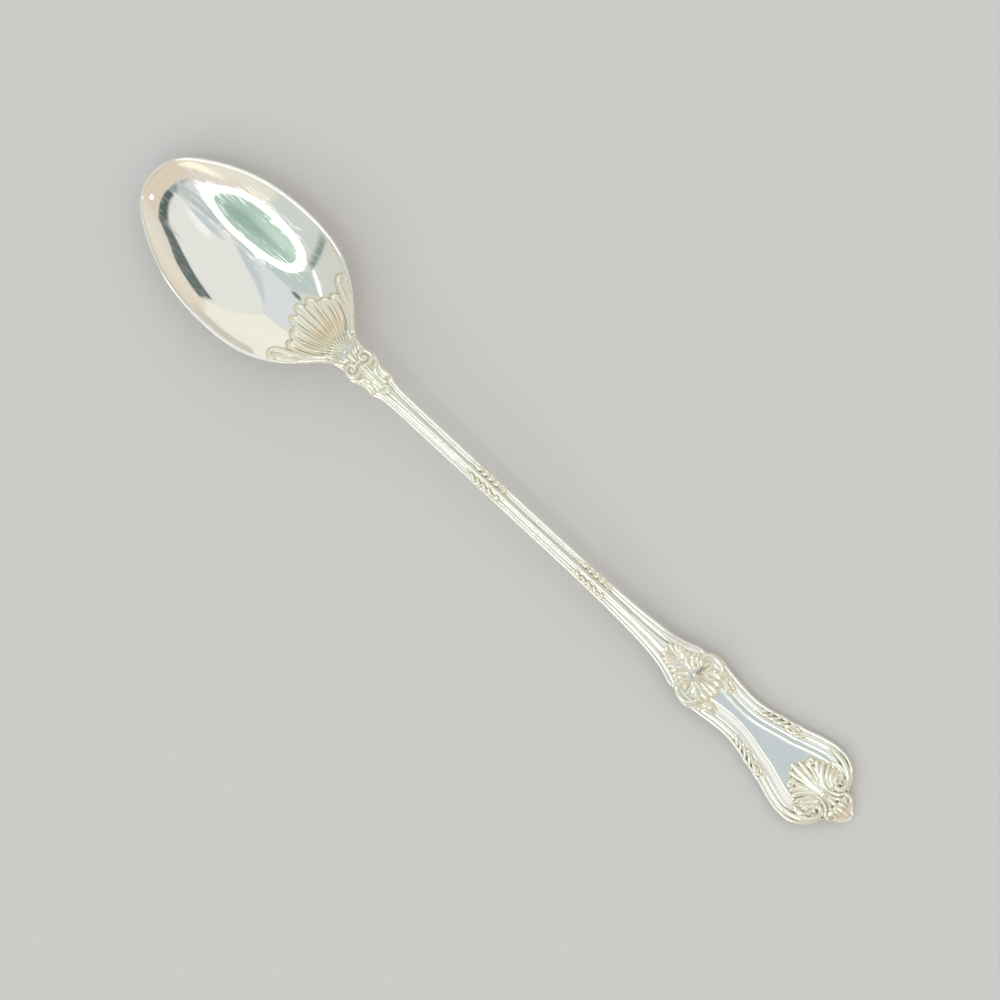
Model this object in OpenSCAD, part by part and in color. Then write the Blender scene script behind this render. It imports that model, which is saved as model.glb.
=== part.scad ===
// Iced tea spoon: a long-handled spoon struck from one blank of silver, with a deep egg-shaped
// bowl, a reeded stem and a waisted handle that carries shells, scrolls and leaves in relief.
// A place s along the spoon runs from the tip of the bowl, and y is zero on the centre line.

/* [Overall] */
// Length from the tip of the bowl to the end of the handle
overall_l = 190.4; // [180:0.2:210]

/* [Bowl] */
// Length of the bowl from its tip to the neck
bowl_l = 53; // [49:0.5:58]
// Width of the bowl over its rim
bowl_w = 31; // [28:0.5:35]
// Depth of the hollow below the rim
bowl_depth = 6.4; // [5.4:0.1:7.4]
// Thickness of the bowl's wall
bowl_wall = 1.2; // [0.9:0.1:1.6]
// Width of the flat land on top of the rim
rim_w = 0.8; // [0.5:0.1:1.2]
// Thickness of the rim's outer edge
rim_edge_t = 0.7; // [0.4:0.1:0.9]
// Rise of the rim towards the neck, in degrees
rim_pitch = 4; // [3:0.5:5]

/* [Neck] */
// Length of the ornamented neck between the bowl and the stem
neck_l = 11; // [10:0.5:13]
// Width of the neck where it leaves the bowl
neck_w = 6.6; // [6:0.2:7.4]
// Thickness of the neck
neck_t = 3.2; // [2.8:0.1:3.6]

/* [Stem] */
// Width of the slender part of the stem
stem_w = 4.1; // [3.7:0.1:4.8]
// Thickness of the stem at its middle
stem_t = 2.6; // [2.2:0.1:3]

/* [Handle] */
// Length of the handle, from the end of the stem to the tip of the finial
handle_l = 56; // [51:0.5:62]
// Width of the handle at its shoulders
handle_w = 18.2; // [17:0.2:20]
// Width over the scrolled knot
knot_w = 12.1; // [11.4:0.1:13]
// Width of the waist between the knot and the shoulders
waist_w = 9.8; // [9.2:0.1:10.6]
// Thickness of the handle's plate
handle_t = 1.9; // [1.6:0.1:2.3]
// Depth of the sunk field inside the borders
field_d = 0.4; // [0.25:0.05:0.55]
// Length of the finial past the plate
finial_l = 4.4; // [3.8:0.2:5]
// Width of the finial
finial_w = 7.5; // [6.8:0.1:8.2]

/* [Borders] */
// Width of the rounded bead along every edge of the stem and the handle
bead_w = 0.75; // [0.65:0.05:0.85]
// Width of the thread that runs inside the bead on the stem
thread_w = 0.45; // [0.35:0.05:0.5]
// Width of the rounded border that the thread becomes round the handle's field
border_w = 1.3; // [1.1:0.1:1.6]
// Depth of the grooves beside the thread
groove_d = 0.28; // [0.2:0.01:0.35]

/* [Ornament] */
// Number of ribs in the shell that fans into the bowl
shell_ribs = 11; // [9:2:13]
// Reach of that shell into the bowl
shell_l = 12.6; // [11.6:0.2:13.6]
// Width of that shell across its outer scrolls
shell_w = 20.4; // [19:0.2:21.4]
// Reach of the leaves in the flower on the knot
flower_l = 4.9; // [4.4:0.1:5.4]
// Reach of the small shell between the stem and the knot
knot_shell_l = 4; // [3.6:0.1:4.4]
// Reach of the leafy fan on the end of the handle
fan_l = 9.3; // [8.6:0.1:10]
// Height of the relief on the shells, scrolls and leaves
relief_h = 0.55; // [0.4:0.05:0.7]

/* [Hidden] */
silver = [0.87, 0.86, 0.83];
dull_silver = [0.80, 0.79, 0.72];

// Outline of the bowl: its blunt tip and its run into the neck
egg_centre_share = 0.5;
egg_tip_power = 1.85;
egg_tip_root = 0.52;
egg_heel_power = 1.8;
egg_heel_fall = 1.5;
// Half width of the blunt point at the tip of the bowl
tip_land = 0.4;
// Fullness of the hollow across and along, and where it fades out and the wall thickens
hollow_power = 2.3;
hollow_follow = 1.6;
heel_fade_share = 0.83;
heel_wall_share = 0.7;
// Softening of the rim's outer corner, as a share of the edge's thickness
rim_soft_share = 0.4;
// Depth of the small spot worn flat where the bowl rests
worn_flat = 0.15;

// Rounding of the top edges of the stem and the handle
edge_round = 0.4;
// Height of the rounded middle of the stem
stem_crown = 0.22;
// Heights by which the whole top is crowned, on the neck and the stem and on the handle
top_crown = 0.12;
handle_crown = 0.04;
// Shares of the back's width that are flat on the stem and on the handle, and share of the
// thickness taken by the rounding of the rest
stem_flat_share = 0.2;
back_flat_share = 0.6;
back_round_share = 0.42;
// Fullness of the round end of the handle's plate, and how far past the plate it would close
end_power = 3.2;
end_root = 0.45;
end_overrun = 0.4;
// How far each ornament's foot is let into the surface that carries it
seat = 0.05;

// Places along the spoon
neck_end = bowl_l + neck_l;
handle_start = overall_l - handle_l;
handle_end = overall_l - finial_l;
stem_l = handle_start - neck_end;
flare_end = handle_start + 0.2 * handle_l;
knot_mid = handle_start + 0.255 * handle_l;
knot_end = handle_start + 0.329 * handle_l;
crest = handle_start + 0.793 * handle_l;
rest_start = handle_start + 0.707 * handle_l;

// Easing, and curves through a table of [place, value]
function clamp01(x) = min(1, max(0, x));
function ease(x) = let (u = clamp01(x)) u * u * (3 - 2 * u);
function mix(a, b, u) = a + (b - a) * u;
function span_of(t, x, i = 0) = i >= len(t) - 2 || x < t[i + 1][0] ? i : span_of(t, x, i + 1);
function slope_at(t, i) =
    i <= 0 || i >= len(t) - 1 ? 0 : (t[i + 1][1] - t[i - 1][1]) / (t[i + 1][0] - t[i - 1][0]);
function hermite(y0, m0, y1, m1, l, u) =
    y0 * (1 + 2 * u) * (1 - u) * (1 - u) + m0 * l * u * (1 - u) * (1 - u)
    + y1 * u * u * (3 - 2 * u) - m1 * l * u * u * (1 - u);
function curve(t, x) =
    let (i = span_of(t, x), l = t[i + 1][0] - t[i][0], u = clamp01((x - t[i][0]) / l))
    hermite(t[i][1], slope_at(t, i), t[i + 1][1], slope_at(t, i + 1), l, u);
function steps(a, b, n) = [for (i = [0:n]) mix(a, b, i / n)];
function crowd_first(a, b, n) = [for (i = [0:n]) mix(a, b, 1 - cos(90 * i / n))];
function crowd_last(a, b, n) = [for (i = [0:n]) mix(a, b, sin(90 * i / n))];
function rest_of(list) = [for (i = [1:len(list) - 1]) list[i]];
function polar(r, a) = [r * cos(a), r * sin(a)];

// Half width of the bowl
function bowl_half(s) =
    let (c = egg_centre_share * bowl_l, fore = clamp01(1 - s / c), aft = clamp01((s - c) / (bowl_l - c)))
    s < c
    ? max(tip_land, bowl_w / 2 * pow(1 - pow(fore, egg_tip_power), egg_tip_root))
    : mix(neck_w / 2, bowl_w / 2, pow(cos(90 * pow(aft, egg_heel_power)), egg_heel_fall));

// Half width of the neck, the stem and the handle
flare_run = (knot_w - stem_w) / 2;
waist_run = (handle_w - waist_w) / 2;
outline = [
    [bowl_l, neck_w / 2],
    [bowl_l + 0.18 * neck_l, 0.97 * neck_w / 2],
    [bowl_l + 0.38 * neck_l, 1.1 * neck_w / 2],
    [bowl_l + 0.62 * neck_l, 0.88 * neck_w / 2],
    [bowl_l + 0.82 * neck_l, 0.92 * neck_w / 2],
    [neck_end, 1.1 * stem_w / 2],
    [neck_end + 0.066 * stem_l, stem_w / 2],
    [neck_end + 0.82 * stem_l, 1.04 * stem_w / 2],
    [handle_start, stem_w / 2 + 0.17 * flare_run],
    [handle_start + 0.11 * handle_l, stem_w / 2 + 0.4 * flare_run],
    [flare_end, stem_w / 2 + 0.79 * flare_run],
    [knot_mid, knot_w / 2],
    [knot_end, waist_w / 2 + 0.6 * (knot_w - waist_w) / 2],
    [handle_start + 0.432 * handle_l, waist_w / 2],
    [handle_start + 0.523 * handle_l, waist_w / 2 + 0.08 * waist_run],
    [handle_start + 0.621 * handle_l, waist_w / 2 + 0.44 * waist_run],
    [rest_start, waist_w / 2 + 0.8 * waist_run],
    [crest, handle_w / 2]
];
function end_half(s) =
    let (u = (s - crest) / (handle_end + end_overrun - crest))
    handle_w / 2 * pow(clamp01(1 - pow(u, end_power)), end_root);
function handle_half(s) = s < crest ? curve(outline, s) : end_half(s);
finial_outline_shares = [[0, 0.94], [0.3, 1], [0.58, 0.82], [0.8, 0.5], [1, 0.2]];
function finial_half(s) = finial_w / 2 * curve(finial_outline_shares, (s - handle_end) / finial_l);

// Heights. The rim rises towards the neck, the stem carries on at that pitch, and the handle
// comes down to lie on the table. The bowl is lifted until its worn spot lies there too.
function heel(s) = ease((s / bowl_l - heel_fade_share) / (1 - heel_fade_share));
function hollow(s) = bowl_depth * pow(bowl_half(s) / (bowl_w / 2), hollow_follow) * (1 - heel(s));
function wall(s) = mix(bowl_wall, neck_t, ease((s / bowl_l - heel_wall_share) / (1 - heel_wall_share)));
function rim_rise(s) = s * tan(rim_pitch);
bowl_lift = -worn_flat - min([for (s = steps(0, bowl_l, 60)) rim_rise(s) - hollow(s) - wall(s)]);
function rim_z(s) = bowl_lift + rim_rise(s);
function back_z(s) =
    let (u = clamp01((s - bowl_l) / (rest_start - bowl_l)))
    hermite(rim_z(bowl_l) - neck_t, tan(rim_pitch), 0, 0, rest_start - bowl_l, u);
thickness = [
    [bowl_l, neck_t],
    [neck_end + 0.165 * stem_l, stem_t],
    [handle_start, stem_t],
    [knot_mid, mix(stem_t, handle_t, 0.6)],
    [crest, handle_t],
    [overall_l, handle_t]
];
function top_z(s) = back_z(s) + curve(thickness, s);
function inner_z(s, y) =
    let (v = clamp01(abs(y) / max(tip_land / 2, bowl_half(s) - rim_w)))
    rim_z(s) + (top_crown * heel(s) - hollow(s)) * (1 - pow(v, hollow_power));
function outer_z(s, y) =
    let (v = clamp01(abs(y) / bowl_half(s)))
    max(0, rim_z(s) - rim_edge_t - (hollow(s) + wall(s) - rim_edge_t) * (1 - pow(v, hollow_power)));

// Top of the neck, the stem and the handle. A bead and a thread follow the edge. The middle is
// crowned on the stem and sunk on the handle, and both fade out under the neck and the knot.
thread_shares = [
    [bowl_l, 0],
    [bowl_l + 0.7 * neck_l, 0],
    [neck_end + 0.016 * stem_l, 1],
    [handle_start + 0.145 * handle_l, 1],
    [knot_mid, 0.25],
    [knot_end, 1],
    [overall_l, 1]
];
function threaded(s) = clamp01(curve(thread_shares, s));
function sunk(s) = ease((s - knot_mid) / (knot_end - knot_mid));
function band_w(s) = bead_w + mix(thread_w, border_w, sunk(s));
function band_scale(s) = min(1, 0.72 * handle_half(s) / band_w(s));
function edge_rows(s) =
    let (g = groove_d * threaded(s), t = band_w(s) - bead_w)
    [
        [0, -edge_round],
        [0.2 * bead_w, -0.35 * edge_round],
        [0.5 * bead_w, 0],
        [0.85 * bead_w, -0.4 * g],
        [bead_w, -g],
        [bead_w + 0.25 * t, -0.2 * g],
        [bead_w + 0.55 * t, 0],
        [bead_w + t, -g]
    ];
middle_shares = [0.82, 0.6, 0.35, 0];
function middle_dz(s, c) =
    mix(
        threaded(s) * mix(-groove_d, stem_crown, 1 - c * c),
        -mix(field_d, groove_d, ease((c - 0.5) / 0.4)),
        sunk(s)
    );
function crown_z(s, y) =
    let (v = clamp01(abs(y) / handle_half(s)))
    top_z(s) + mix(top_crown, handle_crown, sunk(s)) * (1 - pow(v, hollow_power));
function plate_z(s, y) =
    let (w = handle_half(s), e = max(0, w - abs(y)), k = band_scale(s), band = band_w(s) * k)
    crown_z(s, y) + (e < band ? lookup(e / k, edge_rows(s)) : middle_dz(s, abs(y) / (w - band)));
finial_soft_shares = [[-1, -0.3], [-0.8, -0.08], [-0.4, 0.05], [0, 0.12], [0.4, 0.05], [0.8, -0.08], [1, -0.3]];
finial_fall_share = 0.4;
function finial_z(s, y) =
    handle_t * (1 - finial_fall_share * ease((s - handle_end) / finial_l)
    + 0.6 * lookup(clamp01(abs(y) / finial_half(s)), finial_soft_shares));
function surface_z(s, y) =
    s < bowl_l ? inner_z(s, y) : s > handle_end ? finial_z(s, y) : plate_z(s, y);

// Rings of [y, z] round the metal at one place along the spoon
bowl_across = 9;
back_across = 8;
function bowl_ring(s) =
    let (w = bowl_half(s), land = min(rim_w, w / 2))
    [
        [-w, rim_z(s) - rim_soft_share * rim_edge_t],
        for (i = [-bowl_across:bowl_across])
            let (y = sin(90 * i / bowl_across) * (w - land)) [y, inner_z(s, y)],
        [w, rim_z(s) - rim_soft_share * rim_edge_t],
        for (i = [2 * back_across - 1:-2:1 - 2 * back_across])
            let (y = sin(90 * i / (2 * back_across - 1)) * w) [y, outer_z(s, y)]
    ];
function back_flat(s) =
    mix(stem_flat_share, back_flat_share, ease((s - handle_start) / (knot_mid - handle_start)));
function back_dz(s, v) =
    let (
        flat = back_flat(s),
        bowl_like = (neck_t - rim_edge_t) * pow(v, hollow_power),
        plate_like = back_round_share * curve(thickness, s) * pow(max(0, v - flat) / (1 - flat), 2)
    )
    mix(bowl_like, plate_like, ease((s - bowl_l) / neck_l));
back_round_steps = 3;
function back_row(s, w) =
    let (half = [for (v = steps(1, back_flat(s), back_round_steps)) [v * w, back_z(s) + back_dz(s, v)]])
    concat(half, [for (i = [back_round_steps:-1:0]) [-half[i][0], half[i][1]]]);
function plate_ring(s) =
    let (
        w = handle_half(s),
        k = band_scale(s),
        side = concat(
            [for (p = edge_rows(s)) let (y = w - p[0] * k) [y, crown_z(s, y) + p[1]]],
            [for (c = middle_shares) let (y = c * (w - band_w(s) * k)) [y, crown_z(s, y) + middle_dz(s, c)]]
        )
    )
    concat(
        [for (p = side) [-p[0], p[1]]],
        [for (i = [len(side) - 2:-1:0]) side[i]],
        back_row(s, w)
    );
function finial_ring(s) =
    let (w = finial_half(s))
    concat([for (p = finial_soft_shares) [p[0] * w, finial_z(s, p[0] * w)]], back_row(s, w));

// Skins closed rings of [x, y, z] points, all of one length, and caps both ends
module skin(rings) {
    n = len(rings[0]);
    last = len(rings) - 1;
    sides = [
        for (k = [0:last - 1]) for (i = [0:n - 1])
            let (a = k * n + i, b = k * n + (i + 1) % n)
            each [[a, b, a + n], [b, b + n, a + n]]
    ];
    first_cap = [[for (i = [n - 1:-1:0]) i]];
    last_cap = [[for (i = [0:n - 1]) last * n + i]];
    polyhedron([for (r = rings) each r], concat(first_cap, sides, last_cap));
}
module loft(places, rings) {
    skin([for (k = [0:len(places) - 1]) [for (p = rings[k]) [places[k] - overall_l / 2, p[0], p[1]]]]);
}
module plate(places) {
    color(silver) loft(places, [for (s = places) plate_ring(s)]);
}

// A domed ridge along a path of [place, y, half width, height] on the surface
dome_shares = [[1, 0], [0.62, 0.72], [0, 1], [-0.62, 0.72], [-1, 0]];
module ridge(path) {
    last = len(path) - 1;
    skin([
        for (k = [0:last])
            let (
                p = path[k],
                a = path[max(0, k - 1)],
                b = path[min(last, k + 1)],
                run = norm([b[0] - a[0], b[1] - a[1]]),
                side = [(a[1] - b[1]) / run, (b[0] - a[0]) / run] * p[2]
            )
            [
                for (q = dome_shares)
                    let (s = p[0] - q[0] * side[0], y = p[1] - q[0] * side[1])
                    [s - overall_l / 2, y, surface_z(s, y) - seat + q[1] * (p[3] + seat)]
            ]
    ]);
}
module both_sides() {
    children();
    mirror([0, 1, 0]) children();
}

// A leaf from one point to another, which swells near its far end. bow is the sideways push
// of its middle as a share of its length.
function leaf(from, to, half, height, bow = 0, n = 5) =
    let (d = to - from, side = [-d[1], d[0]] * bow)
    [
        for (i = [0:n])
            let (u = i / n, p = from + d * u + side * 4 * u * (1 - u), swell = sin(25 + 135 * pow(u, 1.2)))
            [p[0], p[1], half * swell, height * mix(0.55, 1, swell)]
    ];
// Leaves that spread from one root. Each entry is [direction, reach, half width, bow], the
// reach and the half width as shares of the given size.
module leaf_fan(root, size, entries, height, inner_share = 0.12) {
    for (e = entries)
        ridge(leaf(
            root + polar(inner_share * size, e[0]), root + polar(e[1] * size, e[0]),
            e[2] * size, height, e[3]
        ));
}
// A scroll that winds inwards from the direction start, seen from its eye, by the angle turn
function scroll(eye, radius, start, turn, half, height, n = 14) =
    [
        for (i = [0:n])
            let (u = i / n, p = eye + polar(radius * (1 - 0.7 * pow(u, 0.85)), start + turn * u))
            [p[0], p[1], half * (1 - 0.4 * u), height * mix(0.6, 1.1, ease(2 * u))]
    ];

// A shell: one scalloped sheet of ribs. plan gives [place, y] from the share across, the share
// along and the depth of the scallop there.
rib_valley_shares = [1, 0.25, 0, 0.25];
rib_rise_shares = [0.12, 0.8, 1, 0.8];
module shell_sheet(ribs, rows, height, plan) {
    cols = 4 * ribs;
    grid = [
        for (j = [0:rows]) for (i = [0:cols])
            let (p = plan(2 * i / cols - 1, j / rows, rib_valley_shares[i % 4]))
            [p[0], p[1], rib_rise_shares[i % 4] * mix(0.35, 1, sin(165 * pow(j / rows, 0.8)))]
    ];
    skin_grid(
        [for (p = grid) [p[0] - overall_l / 2, p[1], surface_z(p[0], p[1]) + height * p[2]]],
        [for (p = grid) [p[0] - overall_l / 2, p[1], surface_z(p[0], p[1]) - seat]],
        rows, cols
    );
}
module skin_grid(top, foot, rows, cols) {
    n = len(top);
    function at(j, i) = j * (cols + 1) + i;
    rim = concat(
        [for (i = [0:cols - 1]) at(0, i)],
        [for (j = [0:rows - 1]) at(j, cols)],
        [for (i = [cols:-1:1]) at(rows, i)],
        [for (j = [rows:-1:1]) at(j, 0)]
    );
    faces = concat(
        [
            for (j = [0:rows - 1]) for (i = [0:cols - 1])
                let (a = at(j, i), b = at(j, i + 1), c = at(j + 1, i + 1), d = at(j + 1, i))
                each [[a, c, b], [a, d, c], [n + a, n + b, n + c], [n + a, n + c, n + d]]
        ],
        [
            for (k = [0:len(rim) - 1])
                let (a = rim[k], b = rim[(k + 1) % len(rim)])
                each [[a, b, n + a], [b, n + b, n + a]]
        ]
    );
    polyhedron(concat(top, foot), faces);
}

module bowl() {
    middle = egg_centre_share * bowl_l;
    places = concat(crowd_first(0, middle, 14), rest_of(steps(middle, bowl_l, 14)));
    color(silver) loft(places, [for (s = places) bowl_ring(s)]);
}

// The shell in the heel of the bowl follows the bowl's sides, between two hooked scrolls
shell_root = bowl_l - 0.1 * neck_l;
shell_hook_s = shell_root - 0.74 * shell_l;
shell_inset = bowl_half(shell_hook_s) - shell_w / 2;
shell_root_half = 0.3 * neck_w;
shell_end_share = 0.34;
sheet_share = 0.74;
hook_share = 0.86;
shell_scallop = 0.07 * shell_l;
function shell_half(s) = max(shell_root_half, bowl_half(s) - shell_inset);
// Each hook leaves the edge of the sheet and swings out to its own line
function hook_side(u) = mix(sheet_share, hook_share, ease(1.6 * u));
function hook_path() =
    let (
        half = 0.015 * shell_w,
        eye = [shell_hook_s, (1 + hook_share) / 2 * shell_half(shell_hook_s)],
        r = (1 - hook_share) / 2 * shell_half(shell_hook_s),
        out = steps(shell_root - 0.12 * shell_l, shell_hook_s, 7),
        home = steps(shell_hook_s, shell_root - 0.3 * shell_l, 3)
    )
    concat(
        [for (i = [0:7]) [out[i], hook_side(i / 7) * shell_half(out[i]), half, 0.6 * relief_h]],
        [for (a = [230:-40:110]) let (p = eye + polar(r, a)) [p[0], p[1], half, relief_h]],
        [for (s = home) [s, shell_half(s), half, mix(0.3, 0.8, (home[3] - s) / (home[3] - shell_hook_s)) * relief_h]]
    );
module bowl_shell() {
    color(dull_silver) {
        shell_sheet(shell_ribs, 8, relief_h, function (q, u, dip)
            let (
                reach = shell_l * (1 - shell_end_share * pow(abs(q), 1.2)) - dip * shell_scallop,
                s = shell_root - u * reach
            )
            [s, sheet_share * q * shell_half(s)]
        );
        both_sides() ridge(hook_path());
    }
}

module neck() plate(steps(bowl_l, neck_end, 10));

// Paired scrolls on the neck, with leaves and a budded stalk that run on to the stem
neck_eye = [bowl_l + 0.3 * neck_l, 0.32 * neck_w];
neck_scroll_r = 0.2 * neck_w;
neck_leaf_l = 0.34 * neck_l;
neck_leaf_shares = [[6, 1, 0.1, 0.06], [28, 0.95, 0.1, 0.06], [54, 0.7, 0.09, 0.06]];
neck_tail_shares = [[4, 0.9, 0.1, -0.1], [34, 0.72, 0.1, -0.08]];
module neck_scrolls() {
    color(dull_silver) both_sides()
        ridge(scroll(neck_eye, neck_scroll_r, 215, -430, 0.3 * neck_scroll_r, relief_h));
}
module neck_leaves() {
    color(dull_silver) {
        both_sides() {
            leaf_fan([bowl_l + 0.38 * neck_l, 0.13 * neck_w], neck_leaf_l, neck_leaf_shares, relief_h, 0.32);
            leaf_fan([bowl_l + 0.66 * neck_l, 0.16 * neck_w], neck_leaf_l, neck_tail_shares, relief_h, 0.2);
        }
        ridge(leaf([bowl_l + 0.34 * neck_l, 0], [bowl_l + 0.92 * neck_l, 0], 0.06 * neck_w, relief_h));
        ridge(leaf([bowl_l + 0.93 * neck_l, 0], [neck_end + 0.06 * neck_l, 0], 0.12 * neck_w, relief_h));
    }
}

module stem() {
    slender = neck_end + 0.066 * stem_l;
    plate(concat(steps(neck_end, slender, 2), rest_of(steps(slender, handle_start, 10))));
}

// Sprigs of small leaves that lean across the bead, near the middle and the end of the stem
stem_sprig_l = 2 * stem_w;
sprig_start_shares = [0.338, 0.742];
sprig_leaves = 4;
module sprig(from_s, length, lean, half) {
    for (i = [0:sprig_leaves - 1]) {
        s = from_s + length * i / sprig_leaves;
        y = handle_half(s);
        ridge(leaf(
            [s, y - bead_w - lean], [s + 0.9 * length / sprig_leaves, y - 0.45 * bead_w],
            half, 0.6 * relief_h, 0.15, 4
        ));
    }
}
module stem_sprigs() {
    color(dull_silver) both_sides()
        for (share = sprig_start_shares)
            sprig(neck_end + share * stem_l, stem_sprig_l, 0, 0.4 * bead_w);
}

module shoulder_flare() plate(steps(handle_start, flare_end, 7));
module knot() plate(steps(flare_end, knot_end, 8));

// A small shell that faces down the stem
module knot_shell() {
    root = flare_end - 0.38 * knot_shell_l;
    color(dull_silver)
        shell_sheet(7, 4, relief_h, function (q, u, dip)
            let (r = knot_shell_l * (mix(0.12, 1, u) - 0.1 * dip * u))
            [root - r * cos(62 * q), 0.55 * r * sin(90 * q)]
        );
}

// Four groups of leaves that spread from the middle of the knot
flower_fore_shares = [
    [168, 0.72, 0.066, -0.04], [149, 0.82, 0.068, 0], [130, 0.74, 0.066, 0.04], [111, 0.56, 0.06, 0.06]
];
flower_aft_shares = [[10, 1, 0.07, 0.06], [27, 0.98, 0.075, 0.03], [45, 0.68, 0.066, -0.04]];
module knot_flower() {
    fore = knot_mid - 0.0244 * handle_l;
    aft = knot_mid - 0.0086 * handle_l;
    color(dull_silver) {
        both_sides() {
            leaf_fan([fore, 0.02 * knot_w], flower_l, flower_fore_shares, relief_h, 0.26);
            leaf_fan([aft, 0.02 * knot_w], flower_l, flower_aft_shares, relief_h, 0.3);
        }
        ridge(leaf([fore - 0.1 * flower_l, 0], [aft + 0.1 * flower_l, 0], 0.12 * flower_l, relief_h));
    }
}

// Scrolls that roll along both sides of the knot
knot_eye = [knot_mid + 0.0037 * handle_l, 0.325 * knot_w];
knot_scroll_r = 0.138 * knot_w;
module knot_scrolls() {
    color(dull_silver) both_sides()
        ridge(scroll(knot_eye, knot_scroll_r, 205, -470, 0.27 * knot_scroll_r, relief_h, 18));
}

// Hooked leaves that carry the borders of the panel over from the knot
module panel_hooks() {
    from = [knot_end - 0.022 * handle_l, 0.36 * knot_w];
    to = [knot_end + 0.049 * handle_l, 0.22 * waist_w];
    color(dull_silver) both_sides() ridge(leaf(from, to, 0.07 * waist_w, relief_h, 0.1, 7));
}

module handle_panel() plate(concat(steps(knot_end, crest, 16), rest_of(crowd_last(crest, handle_end, 9))));

// Sprigs of leaves across both borders where the handle widens
module border_sprigs() {
    color(dull_silver) both_sides()
        sprig(handle_start + 0.493 * handle_l, 0.159 * handle_l, 0.25 * border_w, 0.6 * bead_w);
}

// A leafy fan that spreads back over the panel from the end of the handle
fan_root = [handle_end - 0.049 * handle_l, 0];
fan_mid_shares = [[180, 1, 0.08, 0]];
fan_side_shares = [
    [161, 0.92, 0.08, -0.06], [142, 0.88, 0.075, -0.08], [122, 0.74, 0.07, -0.1]
];
fan_tail_shares = [[-40, 0.27, 0.05, 0], [0, 0.27, 0.05, 0], [40, 0.27, 0.05, 0]];
module terminal_fan() {
    color(dull_silver) {
        leaf_fan(fan_root, fan_l, fan_mid_shares, relief_h, 0.2);
        leaf_fan(fan_root, fan_l, fan_tail_shares, relief_h, 0.08);
        both_sides() leaf_fan(fan_root, fan_l, fan_side_shares, relief_h, 0.2);
    }
}

// Scrolls in which the borders end, rolled in at both shoulders
terminal_eye = [handle_end - 0.055 * handle_l, 0.28 * handle_w];
terminal_scroll_r = 0.13 * handle_w;
module terminal_scrolls() {
    color(dull_silver) both_sides()
        ridge(scroll(terminal_eye, terminal_scroll_r, 130, -440, 0.24 * terminal_scroll_r, relief_h, 18));
}

// The finial past the plate: a short pointed tongue with a crown of leaves
module finial() {
    places = steps(handle_end, overall_l, 6);
    color(silver) loft(places, [for (s = places) finial_ring(s)]);
}
module finial_leaves() {
    eye = [handle_end + 0.42 * finial_l, 0.27 * finial_w];
    color(dull_silver) {
        both_sides() ridge(scroll(eye, 0.13 * finial_w, 190, -330, 0.045 * finial_w, relief_h, 10));
        ridge(leaf([handle_end, 0], [overall_l - 0.12 * finial_l, 0], 0.08 * finial_w, relief_h));
    }
}

bowl();
bowl_shell();
neck();
neck_scrolls();
neck_leaves();
stem();
stem_sprigs();
shoulder_flare();
knot();
knot_shell();
knot_flower();
knot_scrolls();
panel_hooks();
handle_panel();
border_sprigs();
terminal_fan();
terminal_scrolls();
finial();
finial_leaves();
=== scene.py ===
import math

import bpy
import numpy as np
from mathutils import Matrix, Vector


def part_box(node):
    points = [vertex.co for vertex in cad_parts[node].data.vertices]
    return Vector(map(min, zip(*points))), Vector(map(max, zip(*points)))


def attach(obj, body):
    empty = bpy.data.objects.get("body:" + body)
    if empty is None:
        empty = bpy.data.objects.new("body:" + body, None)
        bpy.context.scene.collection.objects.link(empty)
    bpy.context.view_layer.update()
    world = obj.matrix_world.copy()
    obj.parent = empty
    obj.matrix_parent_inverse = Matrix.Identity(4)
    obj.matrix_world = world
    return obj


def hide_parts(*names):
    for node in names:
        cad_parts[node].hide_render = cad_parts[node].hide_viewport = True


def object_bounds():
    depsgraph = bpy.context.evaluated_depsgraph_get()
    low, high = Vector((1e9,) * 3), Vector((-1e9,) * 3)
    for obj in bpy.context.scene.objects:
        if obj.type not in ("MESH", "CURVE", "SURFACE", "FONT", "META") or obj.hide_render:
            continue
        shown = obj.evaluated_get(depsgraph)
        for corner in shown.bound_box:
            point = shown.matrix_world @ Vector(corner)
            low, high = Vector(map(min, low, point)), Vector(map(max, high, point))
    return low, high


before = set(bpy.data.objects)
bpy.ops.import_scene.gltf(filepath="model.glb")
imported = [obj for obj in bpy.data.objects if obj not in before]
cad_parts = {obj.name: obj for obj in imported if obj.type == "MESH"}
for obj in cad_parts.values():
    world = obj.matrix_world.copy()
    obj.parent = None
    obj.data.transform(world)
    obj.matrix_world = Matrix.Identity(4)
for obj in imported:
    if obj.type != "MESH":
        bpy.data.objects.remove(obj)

# Iced tea spoon in sterling silver, dressed as a silversmith would finish it: a mirror-polished bowl,
# a reeded stem and handle, and struck relief whose hollows keep a thin warm tarnish, darkened further
# with painted shade.
# Lengths are in millimetres. A place s runs along the spoon from the tip of the bowl, y runs across
# it from the centre line, and both halves of the spoon are alike.

CAD_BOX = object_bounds()
MM = 0.001
OVERALL_L = (CAD_BOX[1].x - CAD_BOX[0].x) / MM


def place(node, end):
    """Where a region of the spoon starts (end 0) or ends (end 1), from the frame."""
    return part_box(node)[end].x / MM + OVERALL_L / 2


BOWL_END = place("bowl", 1)
NECK_END = place("neck", 1)
STEM_END = place("stem", 1)
FLARE_END = place("shoulder_flare", 1)
KNOT_END = place("knot", 1)
PANEL_END = place("handle_panel", 1)

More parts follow.
